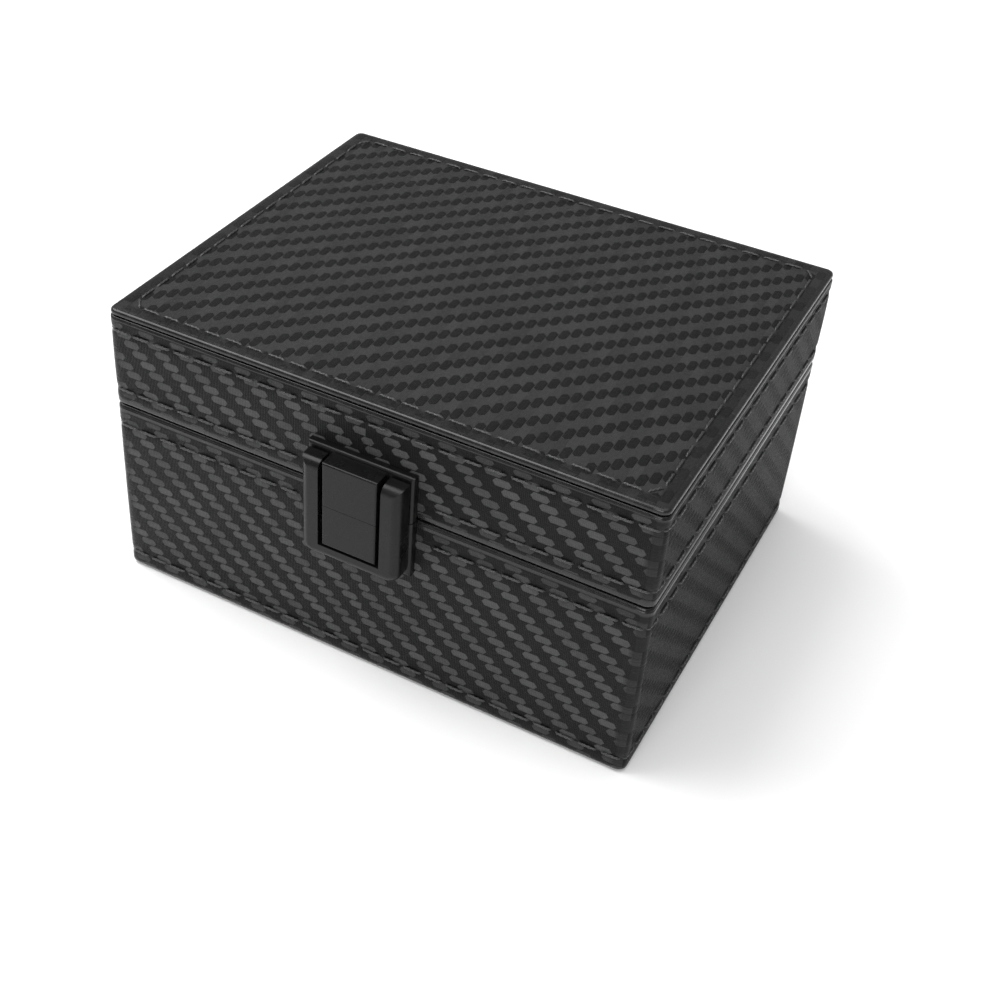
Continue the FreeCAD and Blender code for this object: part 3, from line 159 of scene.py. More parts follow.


# Leather on the walls
# Black grained covering embossed as a twill weave, glued round the base and the lid boards
# and folded over the rims. Light catches the raised floats, and this is painted into the colour:
# the floats carry a painted highlight on the front and rear, and are painted in shade on a lighter
# ground at the ends. Rims and corners are rubbed smooth, and painted shade darkens them.

def weave_group():
    """Twill floats from a flat map in metres: a float mask, a height, a wear noise and a fibre tone."""
    tow = 2.75 * MM
    tows_in_repeat = 4.0
    float_middle = 1.0
    point_slope = 0.75
    tip_start, tip_end = 1.01, 1.07
    side_start, side_end = 0.43, 0.48
    ribs_in_tow, rib_height = 5, 0.10
    crease_scale, crease_detail, crease_height = 900.0, 3.0, 0.30
    pore_scale, pore_detail, pore_height = 4200.0, 2.0, 0.3
    fibre_stretch, fibre_detail, fibre_height = (500.0, 6000.0, 1.0), 2.0, 0.35
    fibre_tone, cell_tone, least_tone = 0.9, 0.35, 0.35
    group = bpy.data.node_groups.new("TwillWeave", "ShaderNodeTree")
    group.interface.new_socket("Lean", in_out="INPUT", socket_type="NodeSocketFloat")
    for name in ("Float", "Height", "Wear", "Tone"):
        group.interface.new_socket(name, in_out="OUTPUT", socket_type="NodeSocketFloat")
    source = group.nodes.new("NodeGroupInput")
    target = group.nodes.new("NodeGroupOutput")
    flat_map = add_node(group, "ShaderNodeUVMap", {"uv_map": "flat"}).outputs[0]
    split = add_node(group, "ShaderNodeSeparateXYZ", None, i0=flat_map)
    across = math_node(group, "DIVIDE", split.outputs[0], tow)
    along = math_node(group, "DIVIDE", split.outputs[1], tow)
    row = math_node(group, "FLOOR", along)
    shift = math_node(group, "MULTIPLY", row, source.outputs["Lean"])
    shifted = math_node(group, "ADD", across, shift)
    phase = math_node(group, "FLOORED_MODULO", shifted, tows_in_repeat)
    from_middle = math_node(group, "ABSOLUTE", math_node(group, "SUBTRACT", phase, float_middle))
    in_row = math_node(group, "SUBTRACT", math_node(group, "SUBTRACT", along, row), 0.5)
    off_row = math_node(group, "ABSOLUTE", in_row)
    pointed = math_node(group, "ADD", from_middle, math_node(group, "MULTIPLY", off_row, point_slope))
    tip = ramp_between(group, pointed, tip_start, tip_end, 1.0, 0.0)
    side = ramp_between(group, off_row, side_start, side_end, 1.0, 0.0)
    mask = math_node(group, "MULTIPLY", tip, side)
    ribs = math_node(group, "SINE", math_node(group, "MULTIPLY", across, math.tau * ribs_in_tow))
    ground = math_node(group, "MULTIPLY", ribs, rib_height)
    drawn_map = add_node(group, "ShaderNodeMapping", None, i0=flat_map)
    drawn_map.inputs["Scale"].default_value = fibre_stretch
    fibre = noise_node(group, drawn_map.outputs[0], 1.0, fibre_detail)
    cell = add_node(group, "ShaderNodeCombineXYZ", None, i1=row)
    cell_number = math_node(group, "FLOOR", math_node(group, "DIVIDE", shifted, tows_in_repeat))
    group.links.new(cell_number, cell.inputs[0])
    flat_noise = {"noise_dimensions": "2D"}
    chance = add_node(group, "ShaderNodeTexWhiteNoise", flat_noise, i0=cell.outputs[0]).outputs[0]
    by_cell = math_node(group, "MULTIPLY", chance, cell_tone)
    tone = math_node(group, "ADD", math_node(group, "MULTIPLY", fibre, fibre_tone), by_cell)
    crown = math_node(group, "SUBTRACT", 1.0, math_node(group, "MULTIPLY", off_row, off_row))
    raised = math_node(group, "MULTIPLY", mask, crown)
    wear = noise_node(group, flat_map, crease_scale, crease_detail)
    pores = noise_node(group, flat_map, pore_scale, pore_detail)
    creases = math_node(group, "MULTIPLY", wear, crease_height)
    pitted = math_node(group, "ADD", creases, math_node(group, "MULTIPLY", pores, pore_height))
    grain = math_node(group, "ADD", pitted, math_node(group, "MULTIPLY", fibre, fibre_height))
    height = math_node(group, "ADD", math_node(group, "ADD", raised, ground), grain)
    group.links.new(mask, target.inputs["Float"])
    group.links.new(height, target.inputs["Height"])
    group.links.new(wear, target.inputs["Wear"])
    group.links.new(math_node(group, "ADD", tone, least_tone), target.inputs["Tone"])
    return group


weave = weave_group()


def leather_material(name, float_colour, ground_colour, lean, roughness, painted_edge_shade, gloss):
    """Woven leather whose pattern and relief fade, and whose gloss grows, where it is rubbed smooth;
    painted shade darkens its colour there.
    """
    rubbed_pattern = 0.9
    rubbed_gloss = 0.14
    rubbed_relief = 0.25
    wear_low, wear_high = 0.3, 0.7
    smoothest, dullest = roughness - 0.05, roughness + 0.07
    coat_start, coat_weight, coat_roughness = 0.6, 0.6, 0.14
    relief = 0.40 * MM
    material, tree, shader = new_material(name)
    pattern = add_node(tree, "ShaderNodeGroup", {"node_tree": weave})
    pattern.inputs["Lean"].default_value = lean
    edge = add_node(tree, "ShaderNodeAttribute", {"attribute_name": "plain_and_shade"}).outputs["Fac"]
    pressed = math_node(tree, "MULTIPLY", edge, rubbed_pattern)
    left_of_it = math_node(tree, "SUBTRACT", 1.0, pressed)
    shown = math_node(tree, "MULTIPLY", pattern.outputs["Float"], left_of_it)
    mix = add_node(tree, "ShaderNodeMix", {"data_type": "RGBA"}, i0=shown)
    mix.inputs[6].default_value = (*ground_colour, 1)
    mix.inputs[7].default_value = (*float_colour, 1)
    # Painted shade: the colour is darkened by the rubbed mask, most on the rims, the corners and the
    # rolled top edge.
    painted_shade = math_node(tree, "MULTIPLY", edge, painted_edge_shade)
    shaded_tone = math_node(tree, "SUBTRACT", pattern.outputs["Tone"], painted_shade)
    toned = add_node(tree, "ShaderNodeVectorMath", {"operation": "SCALE"}, i0=mix.outputs[2])
    tree.links.new(shaded_tone, toned.inputs["Scale"])
    tree.links.new(toned.outputs[0], shader.inputs["Base Color"])
    rough = ramp_between(tree, pattern.outputs["Wear"], wear_low, wear_high, smoothest, dullest)
    rubbed = math_node(tree, "SUBTRACT", rough, math_node(tree, "MULTIPLY", edge, rubbed_gloss))
    tree.links.new(rubbed, shader.inputs["Roughness"])
    shader.inputs["Specular IOR Level"].default_value = gloss
    shine = ramp_between(tree, edge, coat_start, 1.0, 0.0, coat_weight)
    tree.links.new(shine, shader.inputs["Coat Weight"])
    shader.inputs["Coat Roughness"].default_value = coat_roughness
    bump = add_node(tree, "ShaderNodeBump")
    bump.inputs["Strength"].default_value = 1.0
    bump.inputs["Distance"].default_value = relief
    kept_relief = ramp_between(tree, edge, 0.0, 1.0, 1.0, rubbed_relief)
    faded = math_node(tree, "MULTIPLY", pattern.outputs["Height"], kept_relief)
    tree.links.new(faded, bump.inputs["Height"])
    tree.links.new(bump.outputs[0], shader.inputs["Normal"])
    return material


def grey(level):
    """A grey with a trace of blue."""
    return (level, level, 1.02 * level)


# Two copies of one leather, their colours painted for the light on each face: on the front and rear the
# floats carry a painted highlight; on the end faces the floats are painted in shade on a lighter ground.
wall_leather_painted_light = leather_material("wall_leather_painted_light", grey(0.056), grey(0.0055), 1.0, 0.36, 0.5, 0.11)
side_leather_painted_light = leather_material("side_leather_painted_light", grey(0.003), grey(0.026), 1.0, 0.46, 0.6, 0.03)


def round_rectangle(half_x, half_y, radius, half_count=45):
    """Points round a rounded rectangle from the middle of the front, with the length run so far."""
    corner_step = 15
    corners = []
    for sign_x, sign_y, start in ((1, -1, -90), (1, 1, 0), (-1, 1, 90), (-1, -1, 180)):
        centre = Vector((sign_x * (half_x - radius), sign_y * (half_y - radius)))
        for turn in range(0, 91, corner_step):
            angle = math.radians(start + turn)
            corners.append(centre + radius * Vector((math.cos(angle), math.sin(angle))))
    ring = [Vector((0, -half_y))] + corners + [Vector((0, -half_y))]
    points = [(ring[0], 0.0)]
    run = 0.0
    straight = len(corners) // 4
    for number, (first, last) in enumerate(zip(ring, ring[1:])):
        gap = (last - first).length
        at_front = number in (0, len(corners))
        pieces = 1 if number % straight else half_count if at_front else 2 * half_count
        for index in range(1, pieces + 1):
            points.append((first.lerp(last, index / pieces), run + gap * index / pieces))
        run += gap
    return points


def finish_mesh(name, build, material, body, replaced=None, smooth=True):
    mesh = bpy.data.meshes.new(name)
    build.to_mesh(mesh)
    build.free()
    piece = bpy.data.objects.new(name, mesh)
    bpy.context.scene.collection.objects.link(piece)
    mesh.materials.append(material)
    for polygon in mesh.polygons:
        polygon.use_smooth = smooth
    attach(piece, body)
    if replaced:
        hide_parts(replaced)
    return piece


def band(level, stitch_levels):
    """Outward swell of the leather at a height: puffed between stitch lines and drawn in at them."""
    puff, dent, dent_width = 0.10 * MM, 0.32 * MM, 0.9 * MM
    nearest = min(abs(level - line) for line in stitch_levels)
    drawn = dent * math.exp(-(nearest / dent_width) ** 2)
    low, high = min(stitch_levels), max(stitch_levels)
    inside = low < level < high
    swell = puff * math.sin(math.pi * (level - low) / (high - low)) if inside else 0.0
    return swell - drawn


def wall_profile(low_level, high_level, low_rim, high_rim):
    """Inset and height from the fold under the foot, round both rims, to the fold over the top."""
    fold, lap = 5.6 * MM, 0.05 * MM
    row_height = 0.8 * MM
    rim_turns = [math.radians(turn) for turn in range(0, 91, 18)]
    profile = [(fold, low_level - lap)]
    for angle in rim_turns:
        inset = low_rim - low_rim * math.sin(angle)
        profile.append((inset, low_level + low_rim - low_rim * math.cos(angle)))
    level = low_level + low_rim
    while level < high_level - high_rim:
        level += row_height
        profile.append((0.0, min(level, high_level - high_rim)))
    for angle in rim_turns:
        inset = high_rim - high_rim * math.cos(angle)
        profile.append((inset, high_level - high_rim + high_rim * math.sin(angle)))
    profile.append((fold, high_level + lap))
    return profile


WALL_CORNER = 3.0 * MM
LEAST_CORNER = 0.4 * MM
# How far each place is rubbed smooth: the weave fades by this much, and painted shade darkens the colour
# with it.
RIM_PLAIN_AND_SHADE, CORNER_PLAIN_AND_SHADE, HEM_PLAIN_AND_SHADE = 1.0, 0.7, 0.28


def leather_ring(name, node, body, stitch_levels, low_rim, high_rim):
    """Leather round one half of the box, down to the foot of its boards, with its weave map."""
    low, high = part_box(node)
    low.z = min(low.z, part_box(f"{body}_front_wall")[0].z)
    half = (high - low) / 2
    middle_y = (low.y + high.y) / 2
    skin = 0.12 * MM
    profile = wall_profile(low.z, high.z, low_rim, high_rim)
    build = bmesh.new()
    flat = build.loops.layers.uv.new("flat")
    plain_and_shade = build.verts.layers.float.new("plain_and_shade")
    rows = []
    for inset, level in profile:
        inset = inset + skin if inset else skin - band(level, stitch_levels)
        in_hem = level < min(stitch_levels) or level > max(stitch_levels)
        at_rim = level < low.z + 2 * low_rim or level > high.z - 2 * high_rim
        corner = max(WALL_CORNER - inset, LEAST_CORNER)
        ring = round_rectangle(half.x - inset, half.y - inset, corner)
        row = []
        for place, _ in ring[:-1]:
            vertex = build.verts.new((place.x, place.y + middle_y, level))
            near_corner = abs(place.x) > half.x - WALL_CORNER and abs(place.y) > half.y - WALL_CORNER
            on_wall = CORNER_PLAIN_AND_SHADE if near_corner else HEM_PLAIN_AND_SHADE if in_hem else 0.0
            vertex[plain_and_shade] = RIM_PLAIN_AND_SHADE if at_rim else on_wall
            row.append(vertex)
        rows.append(row)
    run = [length for _, length in ring]
    levels = [low.z]
    for (inset, level), (next_inset, next_level) in zip(profile, profile[1:]):
        levels.append(levels[-1] + math.hypot(next_inset - inset, next_level - level))
    end_facing = 0.7
    for index, (lower, upper) in enumerate(zip(rows, rows[1:])):
        for step in range(len(lower)):
            ahead = (step + 1) % len(lower)
            face = build.faces.new((lower[step], lower[ahead], upper[ahead], upper[step]))
            face.normal_update()
            # Faces turned to the ends take the end copy, whose colours hold the painted light there.
            face.material_index = 1 if abs(face.normal.x) > end_facing else 0
            spots = ((step, index), (step + 1, index), (step + 1, index + 1), (step, index + 1))
            for loop, (place, level_index) in zip(face.loops, spots):
                loop[flat].uv = (run[place], levels[level_index])
    piece = finish_mesh(name, build, wall_leather_painted_light, body, node)
    piece.data.materials.append(side_leather_painted_light)


BASE_STITCHES = (5.8 * MM, 58.0 * MM)
LID_STITCHES = (71.6 * MM, 93.0 * MM)
SOFT_RIM = 1.2 * MM
TIGHT_RIM = 0.7 * MM
leather_ring("base_leather", "base_wrap", "base", BASE_STITCHES, TIGHT_RIM, SOFT_RIM)
leather_ring("lid_leather", "lid_wrap", "lid", LID_STITCHES, SOFT_RIM, TIGHT_RIM)


# Leather top panel
# A stiff card covered in the same leather, glued on the lid; its edge is rolled over all round
# and a row of stitches runs inside the edge. Its colours hold painted light: dark floats on a
# lighter ground, with painted shade darkening the rolled edge and, less, the border.

# A painted-light copy of the same leather: on the top the floats are painted in shade on a lighter
# ground.
top_leather_painted_light = leather_material("top_leather_painted_light", grey(0.0055), grey(0.028), -1.0, 0.38, 0.75, 0.11)
TOP_SEAM = 5.2 * MM
TOP_CORNER = 2.7 * MM
# How far the top is rubbed smooth: the roll and the border lose their weave, and painted shade darkens
# them.
ROLL_PLAIN_AND_SHADE, BORDER_PLAIN_AND_SHADE = 1.0, 0.6


def skin_rings(build, rings):
    """Faces between each closed ring of points and the next."""
    for first, last in zip(rings, rings[1:]):
        for step in range(len(first)):
            ahead = (step + 1) % len(first)
            build.faces.new((first[step], first[ahead], last[ahead], last[step]))


def cap_ends(build, rings):
    build.faces.new(list(reversed(rings[0])))
    build.faces.new(rings[-1])


def top_panel():
    """The rolled edge from below, then the flat top with the seam's dent in it."""
    low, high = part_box("lid_top_panel")
    half = (high - low) / 2
    thick = high.z - low.z
    roll = 0.46 * thick
    sunk, dent, dent_width = 0.06 * MM, 0.2 * MM, 0.8 * MM
    flat_insets = (2.0, 3.0, 4.0, 4.6, 5.2, 5.8, 6.6, 8.0, 11.0)
    profile = []
    for turn in range(0, 181, 15):
        angle = math.radians(turn)
        side = roll - roll * math.sin(angle)
        profile.append((side, low.z + thick / 2 - roll * math.cos(angle)))
    for inset in flat_insets:
        away = abs(inset * MM - TOP_SEAM)
        drawn = dent * math.exp(-(away / dent_width) ** 2)
        profile.append((inset * MM, high.z - sunk - drawn))
    build = bmesh.new()
    flat = build.loops.layers.uv.new("flat")
    plain_and_shade = build.verts.layers.float.new("plain_and_shade")
    rows = []
    for inset, level in profile:
        corner = max(TOP_CORNER - inset, LEAST_CORNER)
        ring = round_rectangle(half.x - inset, half.y - inset, corner)
        row = []
        for place, _ in ring[:-1]:
            vertex = build.verts.new((place.x, place.y, level))
            vertex[plain_and_shade] = ROLL_PLAIN_AND_SHADE if inset < roll else BORDER_PLAIN_AND_SHADE if inset < TOP_SEAM else 0.0
            row.append(vertex)
        rows.append(row)
    skin_rings(build, rows)
    cap_ends(build, rows)
    for face in build.faces:
        for loop in face.loops:
            loop[flat].uv = (loop.vert.co.y, loop.vert.co.x)
    piece = finish_mesh("top_leather_painted_light", build, top_leather_painted_light, "lid", "lid_top_panel")


top_panel()


# Stitching
# Thick black thread, a little shiny, sewn through the leather near its edges; each stitch
# rises out of one hole and dips into the next.

def thread_material():
    twist_scale = 900.0
    material, tree, shader = new_material("thread")
    coords = add_node(tree, "ShaderNodeTexCoord").outputs["Object"]
    diagonal = {"bands_direction": "DIAGONAL"}
    twist = add_node(tree, "ShaderNodeTexWave", diagonal, i0=coords, i1=twist_scale)
    # The twist wave lightens the colour along each ply's crest: a painted highlight on the black thread.
    colour = add_node(tree, "ShaderNodeMix", {"data_type": "RGBA"}, i0=twist.outputs[1])
    colour.inputs[6].default_value = (*grey(0.010), 1)
    colour.inputs[7].default_value = (*grey(0.045), 1)
    tree.links.new(colour.outputs[2], shader.inputs["Base Color"])
    bump = add_node(tree, "ShaderNodeBump")
    bump.inputs["Strength"].default_value = 0.4
    bump.inputs["Distance"].default_value = 0.1 * MM
    tree.links.new(twist.outputs[1], bump.inputs["Height"])
    tree.links.new(bump.outputs[0], shader.inputs["Normal"])
    shader.inputs["Roughness"].default_value = 0.28
    return material


thread = thread_material()
random.seed(7)


def stitch(build, start, end, outward):
    """One two-ply stitch: it dips into the leather at both holes and lies flat between them."""
    thread_radius = 0.40 * MM
    end_width = 0.6
    lift, hole_depth, rise = 0.42 * MM, 0.36 * MM, 2.4
    ply_depth, ply_turns = 0.24, 3.5
    along_count, around_count = 17, 10
    along = (end - start).normalized()
    side = along.cross(outward)
    rings = []
    for index in range(along_count):
        share = index / (along_count - 1)
        lifted = min(1.0, rise * math.sin(math.pi * share))
        centre = start.lerp(end, share) + outward * (lift * lifted - hole_depth)
        width = thread_radius * (end_width + (1 - end_width) * lifted)
        ring = []
        for turn in range(around_count):
            angle = math.tau * turn / around_count
            ply = 1.0 + ply_depth * math.cos(2 * angle - math.tau * ply_turns * share)
            offset = side * math.cos(angle) + outward * math.sin(angle)
            ring.append(build.verts.new(centre + offset * width * ply))
        rings.append(ring)
    skin_rings(build, rings)
    cap_ends(build, rings)


def stitch_row(name, body, half_x, half_y, corner, level, upward, front_gap=0.0):
    """Stitches round a rounded rectangle, facing up or outwards, left out over a gap in front."""
    pitch = 7.4 * MM
    least_reach, reach_spread = 0.41, 0.015
    ring = round_rectangle(half_x, half_y, corner)
    total = ring[-1][1]
    count = round(total / pitch)
    build = bmesh.new()

    def place_at(length):
        length = length % total
        for (first, run), (last, next_run) in zip(ring, ring[1:]):
            if run <= length <= next_run:
                share = (length - run) / max(next_run - run, 1e-9)
                return first.lerp(last, share)
        return ring[-1][0]

    for index in range(count):
        middle = (index + 0.5) * total / count
        reach = (least_reach + reach_spread * random.random()) * total / count
        first = place_at(middle - reach)
        last = place_at(middle + reach)
        here = place_at(middle)
        if here.y < 0 and abs(here.x) < front_gap:
            continue
        if upward:
            outward = Vector((0, 0, 1))
        else:
            edge = (last - first).normalized()
            outward = Vector((edge.y, -edge.x, 0))
        stitch(build, Vector((*first, level)), Vector((*last, level)), outward)
    piece = finish_mesh(name, build, thread, body)


seat = 0.1 * MM
wrap_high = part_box("base_wrap")[1]
wall_x = wrap_high.x - seat
wall_y = wrap_high.y - seat
clasp_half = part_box("clasp_plate")[1].x + 2 * MM
for half, stitch_levels, clasp_row in (("base", BASE_STITCHES, 1), ("lid", LID_STITCHES, 0)):
    for row, level in enumerate(stitch_levels):
        behind = clasp_half if row == clasp_row else 0.0
        stitch_row(f"{half}_stitches_{row}", half, wall_x, wall_y, WALL_CORNER, level, False, behind)
panel_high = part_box("lid_top_panel")[1]
top_x = panel_high.x - TOP_SEAM
top_y = panel_high.y - TOP_SEAM
seam_corner = 1.5 * MM
stitch_row("top_stitches", "lid", top_x, top_y, seam_corner, panel_high.z - seat, True)


# Felt and velvet linings
# Thin felt under the floor, and charcoal flocked velvet inside the base and the lid; its short
# pile lightens where it is seen along the surface.

felt, felt_shader = grained("felt", grey(0.008), grey(0.02), 900.0, 0.9, 0.2 * MM)
felt_shader.inputs["Sheen Weight"].default_value = 0.2
dress(felt, "base_felt")
velvet, velvet_shader = grained("velvet", grey(0.013), grey(0.032), 1400.0, 0.88, 0.15 * MM)
velvet_shader.inputs["Sheen Weight"].default_value = 0.5
velvet_shader.inputs["Sheen Roughness"].default_value = 0.4
dress(velvet, "base_lining", "lid_lining")


# Hinges
# Two butt hinges of pressed steel with a satin black coat, let into the rear rims; a bare
# steel pin runs through the knuckles and short screws hold the leaves.

hinge_coat, hinge_shader = grained("hinge_coat", grey(0.02), grey(0.04), 1800.0, 0.3, 0.02 * MM)
hinge_shader.inputs["Metallic"].default_value = 0.4
dress(hinge_coat, *(f"{side}_hinge_{half}_leaf" for side in SIDES for half in ("base", "lid")))
DRAWN = (1, 1, 12)
steel, steel_shader = grained("steel", grey(0.45), grey(0.62), 700.0, 0.28, 0.01 * MM, DRAWN)
steel_shader.inputs["Metallic"].default_value = 1.0
dress(steel, "hinge_base_screws", "hinge_lid_screws", "left_hinge_pin", "right_hinge_pin")


# Clasp
# Zinc castings with a fine matte black coat, screwed to the front: a fixed frame and plate, a
# strike on the lid and a sprung push button between the posts.

clasp_coat, clasp_shader = grained("clasp_coat", grey(0.0025), grey(0.006), 2500.0, 0.3, 0.02 * MM)
clasp_shader.inputs["Specular IOR Level"].default_value = 0.22
dress(clasp_coat, "clasp_plate", "clasp_frame", "clasp_button", "lid_strike")
dress(steel, "clasp_screws", "strike_screws", "button_spring")


# Drive
# A small geared motor under a moulded bearing plate; its nylon pinion turns two nylon gears
# on steel shafts, which run in bronze bushes.

moulding, _ = grained("moulding", grey(0.015), grey(0.024), 1600.0, 0.36, 0.03 * MM)
dress(moulding, "bearing_plate")
dress(steel, "drive_motor", "motor_screws")
dress(steel, *(f"{side}_{name}" for side in SIDES for name in ("shaft", "shaft_clip")))
bronze, bronze_shader = grained("bronze", (0.45, 0.30, 0.12), (0.60, 0.42, 0.18), 900.0, 0.35, 0.02 * MM)
bronze_shader.inputs["Metallic"].default_value = 1.0
dress(bronze, "left_bush", "right_bush")
nylon, _ = grained("nylon", (0.72, 0.71, 0.66), (0.80, 0.79, 0.75), 600.0, 0.5, 0.02 * MM)
dress(nylon, "left_gear", "right_gear", "motor_pinion")


# Winding cups and pillows
# Satin moulded cups that turn in the deck, each with a metal trim ring and a stuffed velvet
# pillow, piped round its waist, on which the watch strap closes.

dress(moulding, "left_cup", "right_cup")
pillow_cloth, cloth_shader = grained("pillow_cloth", grey(0.05), grey(0.085), 1500.0, 0.85, 0.2 * MM)
cloth_shader.inputs["Sheen Weight"].default_value = 0.6
trim_metal, trim_shader = grained("trim_metal", grey(0.10), grey(0.16), 700.0, 0.3, 0.01 * MM)
trim_shader.inputs["Metallic"].default_value = 1.0

DECK_LEAN = math.radians(35)
PILLOW_TURNS = 144
joint_places = {joint["name"]: Vector(joint["pos_m"]) for joint in frame["joints"] if "pos_m" in joint}


def cup_mouth(side):
    """Places a point given from the middle of a cup's mouth, with z along the cup's axis."""
    return Matrix.Translation(joint_places[f"{side}_turn"]) @ Matrix.Rotation(DECK_LEAN, 4, "X")


def pillow_ring(build, half_wide, half_long, level, mouth, pucker=0.0):
    """One level of the pillow: a stadium outline with soft ends, gathered where the pucker says."""
    gathers = 36
    end_slope = 3.0
    bend = half_long - half_wide
    ring = []
    for turn in range(PILLOW_TURNS):
        angle = math.tau * turn / PILLOW_TURNS
        along = math.sin(angle)
        reach = half_wide + pucker * math.cos(gathers * angle)
        straight = bend * max(-1.0, min(1.0, end_slope * along))
        place = Vector((reach * math.cos(angle), reach * along + straight, level))
        ring.append(build.verts.new(mouth @ place))
    return ring


def pillow(side):
    """A stuffed cover, fullest at its waist and gathered there, with a round cord sewn in."""
    mouth = cup_mouth(side)
    low, high = -27.2 * MM, -5.0 * MM
    middle = (low + high) / 2
    half_height = (high - low) / 2
    half_wide, half_long = 18.2 * MM, 24.6 * MM
    steps, roundness = 18, 0.42
    pinch_depth, pinch_spread = 0.6 * MM, 0.12
    gather_depth, gather_spread = 0.28 * MM, 0.4
    build = bmesh.new()
    rings = []
    for index in range(1, steps):
        angle = -math.pi / 2 + math.pi * index / steps
        swell = max(math.cos(angle), 0.0) ** roundness
        pinch = pinch_depth * math.exp(-(angle / pinch_spread) ** 2)
        inset = (1 - swell) * half_wide + pinch
        level = middle + half_height * math.sin(angle)
        pucker = gather_depth * math.exp(-(angle / gather_spread) ** 2)
        reaches = (half_wide - inset, half_long - inset)
        rings.append(pillow_ring(build, *reaches, level, mouth, pucker))
    skin_rings(build, rings)
    cap_ends(build, rings)
    body = finish_mesh(f"{side}_pillow_cover", build, pillow_cloth, f"{side}_winder", f"{side}_pillow")
    piping = bmesh.new()
    cord_radius, cord_sunk, cord_sides = 0.8 * MM, 0.2 * MM, 8
    rings = []
    for turn in range(cord_sides):
        angle = math.tau * turn / cord_sides
        out = cord_radius * math.cos(angle) - cord_sunk
        level = middle + cord_radius * math.sin(angle)
        rings.append(pillow_ring(piping, half_wide + out, half_long + out, level, mouth))
    skin_rings(piping, rings + rings[:1])
    edge = finish_mesh(f"{side}_pillow_piping", piping, pillow_cloth, f"{side}_winder")


def trim_ring(side):
    """A thin rounded satin ring set on the cup's flange."""
    mouth = cup_mouth(side)
    middle_radius = 37.2 * MM
    half_wide, half_high = 0.9 * MM, 0.35 * MM
    around, section = 128, 12
    build = bmesh.new()
    rings = []
    for turn in range(around):
        angle = math.tau * turn / around
        ring = []
        for corner in range(section):
            bend = math.tau * corner / section
            radius = middle_radius + half_wide * math.cos(bend)
            level = half_high * math.sin(bend)
            place = Vector((radius * math.cos(angle), radius * math.sin(angle), level))
            ring.append(build.verts.new(mouth @ place))
        rings.append(ring)
    closed = rings + rings[:1]
    skin_rings(build, closed[::-1])
    piece = finish_mesh(f"{side}_cup_trim", build, trim_metal, f"{side}_winder")


for side in SIDES:
    pillow(side)
    trim_ring(side)


# Leaning deck and rear cover
# Boards wrapped in the same velvet as the linings: the deck leans between two cheeks and the
# level cover behind it carries the control.

dress(velvet, "winder_deck", "rear_cover", "left_cheek", "right_cheek")


# Mode control
# A rotary switch on a small circuit board, with a ribbed push-on knob over the cover, a white
# pointer line in the knob and five printed ticks round it.

dress(moulding, "mode_switch")
circuit, _ = grained("circuit", (0.01, 0.10, 0.04), (0.02, 0.16, 0.07), 400.0, 0.4, 0.05 * MM)
dress(circuit, "control_board")
dress(steel, "left_standoff", "right_standoff")
print_white, _ = grained("print_white", grey(0.55), grey(0.68), 1500.0, 0.6, 0.01 * MM)

knob_low, knob_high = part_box("mode_knob")
knob_centre = (knob_low + knob_high) / 2
knob_radius = (knob_high.x - knob_low.x) / 2
knob_height = 6.5 * MM
stem_radius = 2.5 * MM
dish = 0.4 * MM


def ribbed_knob():
    """The knob from its stem up, as radius, height and depth of rib, with a dished top."""
    ribs, points_in_rib = 30, 6
    around = ribs * points_in_rib
    rib_depth = 0.32 * MM
    skirt = knob_high.z - knob_height
    crown = knob_high.z
    profile = (
        (stem_radius, knob_low.z, 0),
        (stem_radius, skirt, 0),
        (0.93 * knob_radius, skirt, 0),
        (knob_radius, skirt + 0.5 * MM, 0),
        (knob_radius, skirt + 1.1 * MM, 0),
        (knob_radius, skirt + 1.4 * MM, 1),
        (0.985 * knob_radius, crown - 1.3 * MM, 1),
        (0.965 * knob_radius, crown - 0.8 * MM, 0.5),
        (0.93 * knob_radius, crown - 0.25 * MM, 0),
        (0.86 * knob_radius, crown, 0),
        (0.78 * knob_radius, crown - 0.08 * MM, 0),
        (0.72 * knob_radius, crown - 0.3 * MM, 0),
        (0.30 * knob_radius, crown - dish, 0),
    )
    build = bmesh.new()
    rings = []
    for radius, level, ribbed in profile:
        ring = []
        for turn in range(around):
            angle = math.tau * turn / around
            reach = radius - ribbed * rib_depth * (0.5 - 0.5 * math.cos(ribs * angle))
            x_place = knob_centre.x + reach * math.cos(angle)
            y_place = knob_centre.y + reach * math.sin(angle)
            ring.append(build.verts.new((x_place, y_place, level)))
        rings.append(ring)
    skin_rings(build, rings)
    cap_ends(build, rings)
    piece = finish_mesh("knob_cap", build, moulding, "knob", "mode_knob")


def printed_line(build, angle, near, far, width, level):
    """A thin raised bar with rounded ends, pointing away from the knob's axis."""
    thick = 0.06 * MM
    outward = Vector((math.sin(angle), -math.cos(angle), 0))
    across = Vector((math.cos(angle), math.sin(angle), 0))
    outline = []
    for end, start in ((far, 0), (near, 180)):
        for turn in range(0, 181, 30):
            bend = math.radians(start + turn)
            ahead = end + width / 2 * math.sin(bend)
            outline.append(outward * ahead + across * (width / 2 * math.cos(bend)))
    foot = Vector((knob_centre.x, knob_centre.y, level))
    lower = [build.verts.new(foot + place) for place in outline]
    upper = [build.verts.new(foot + place + Vector((0, 0, thick))) for place in outline]
    skin_rings(build, [lower, upper])
    build.faces.new(upper)


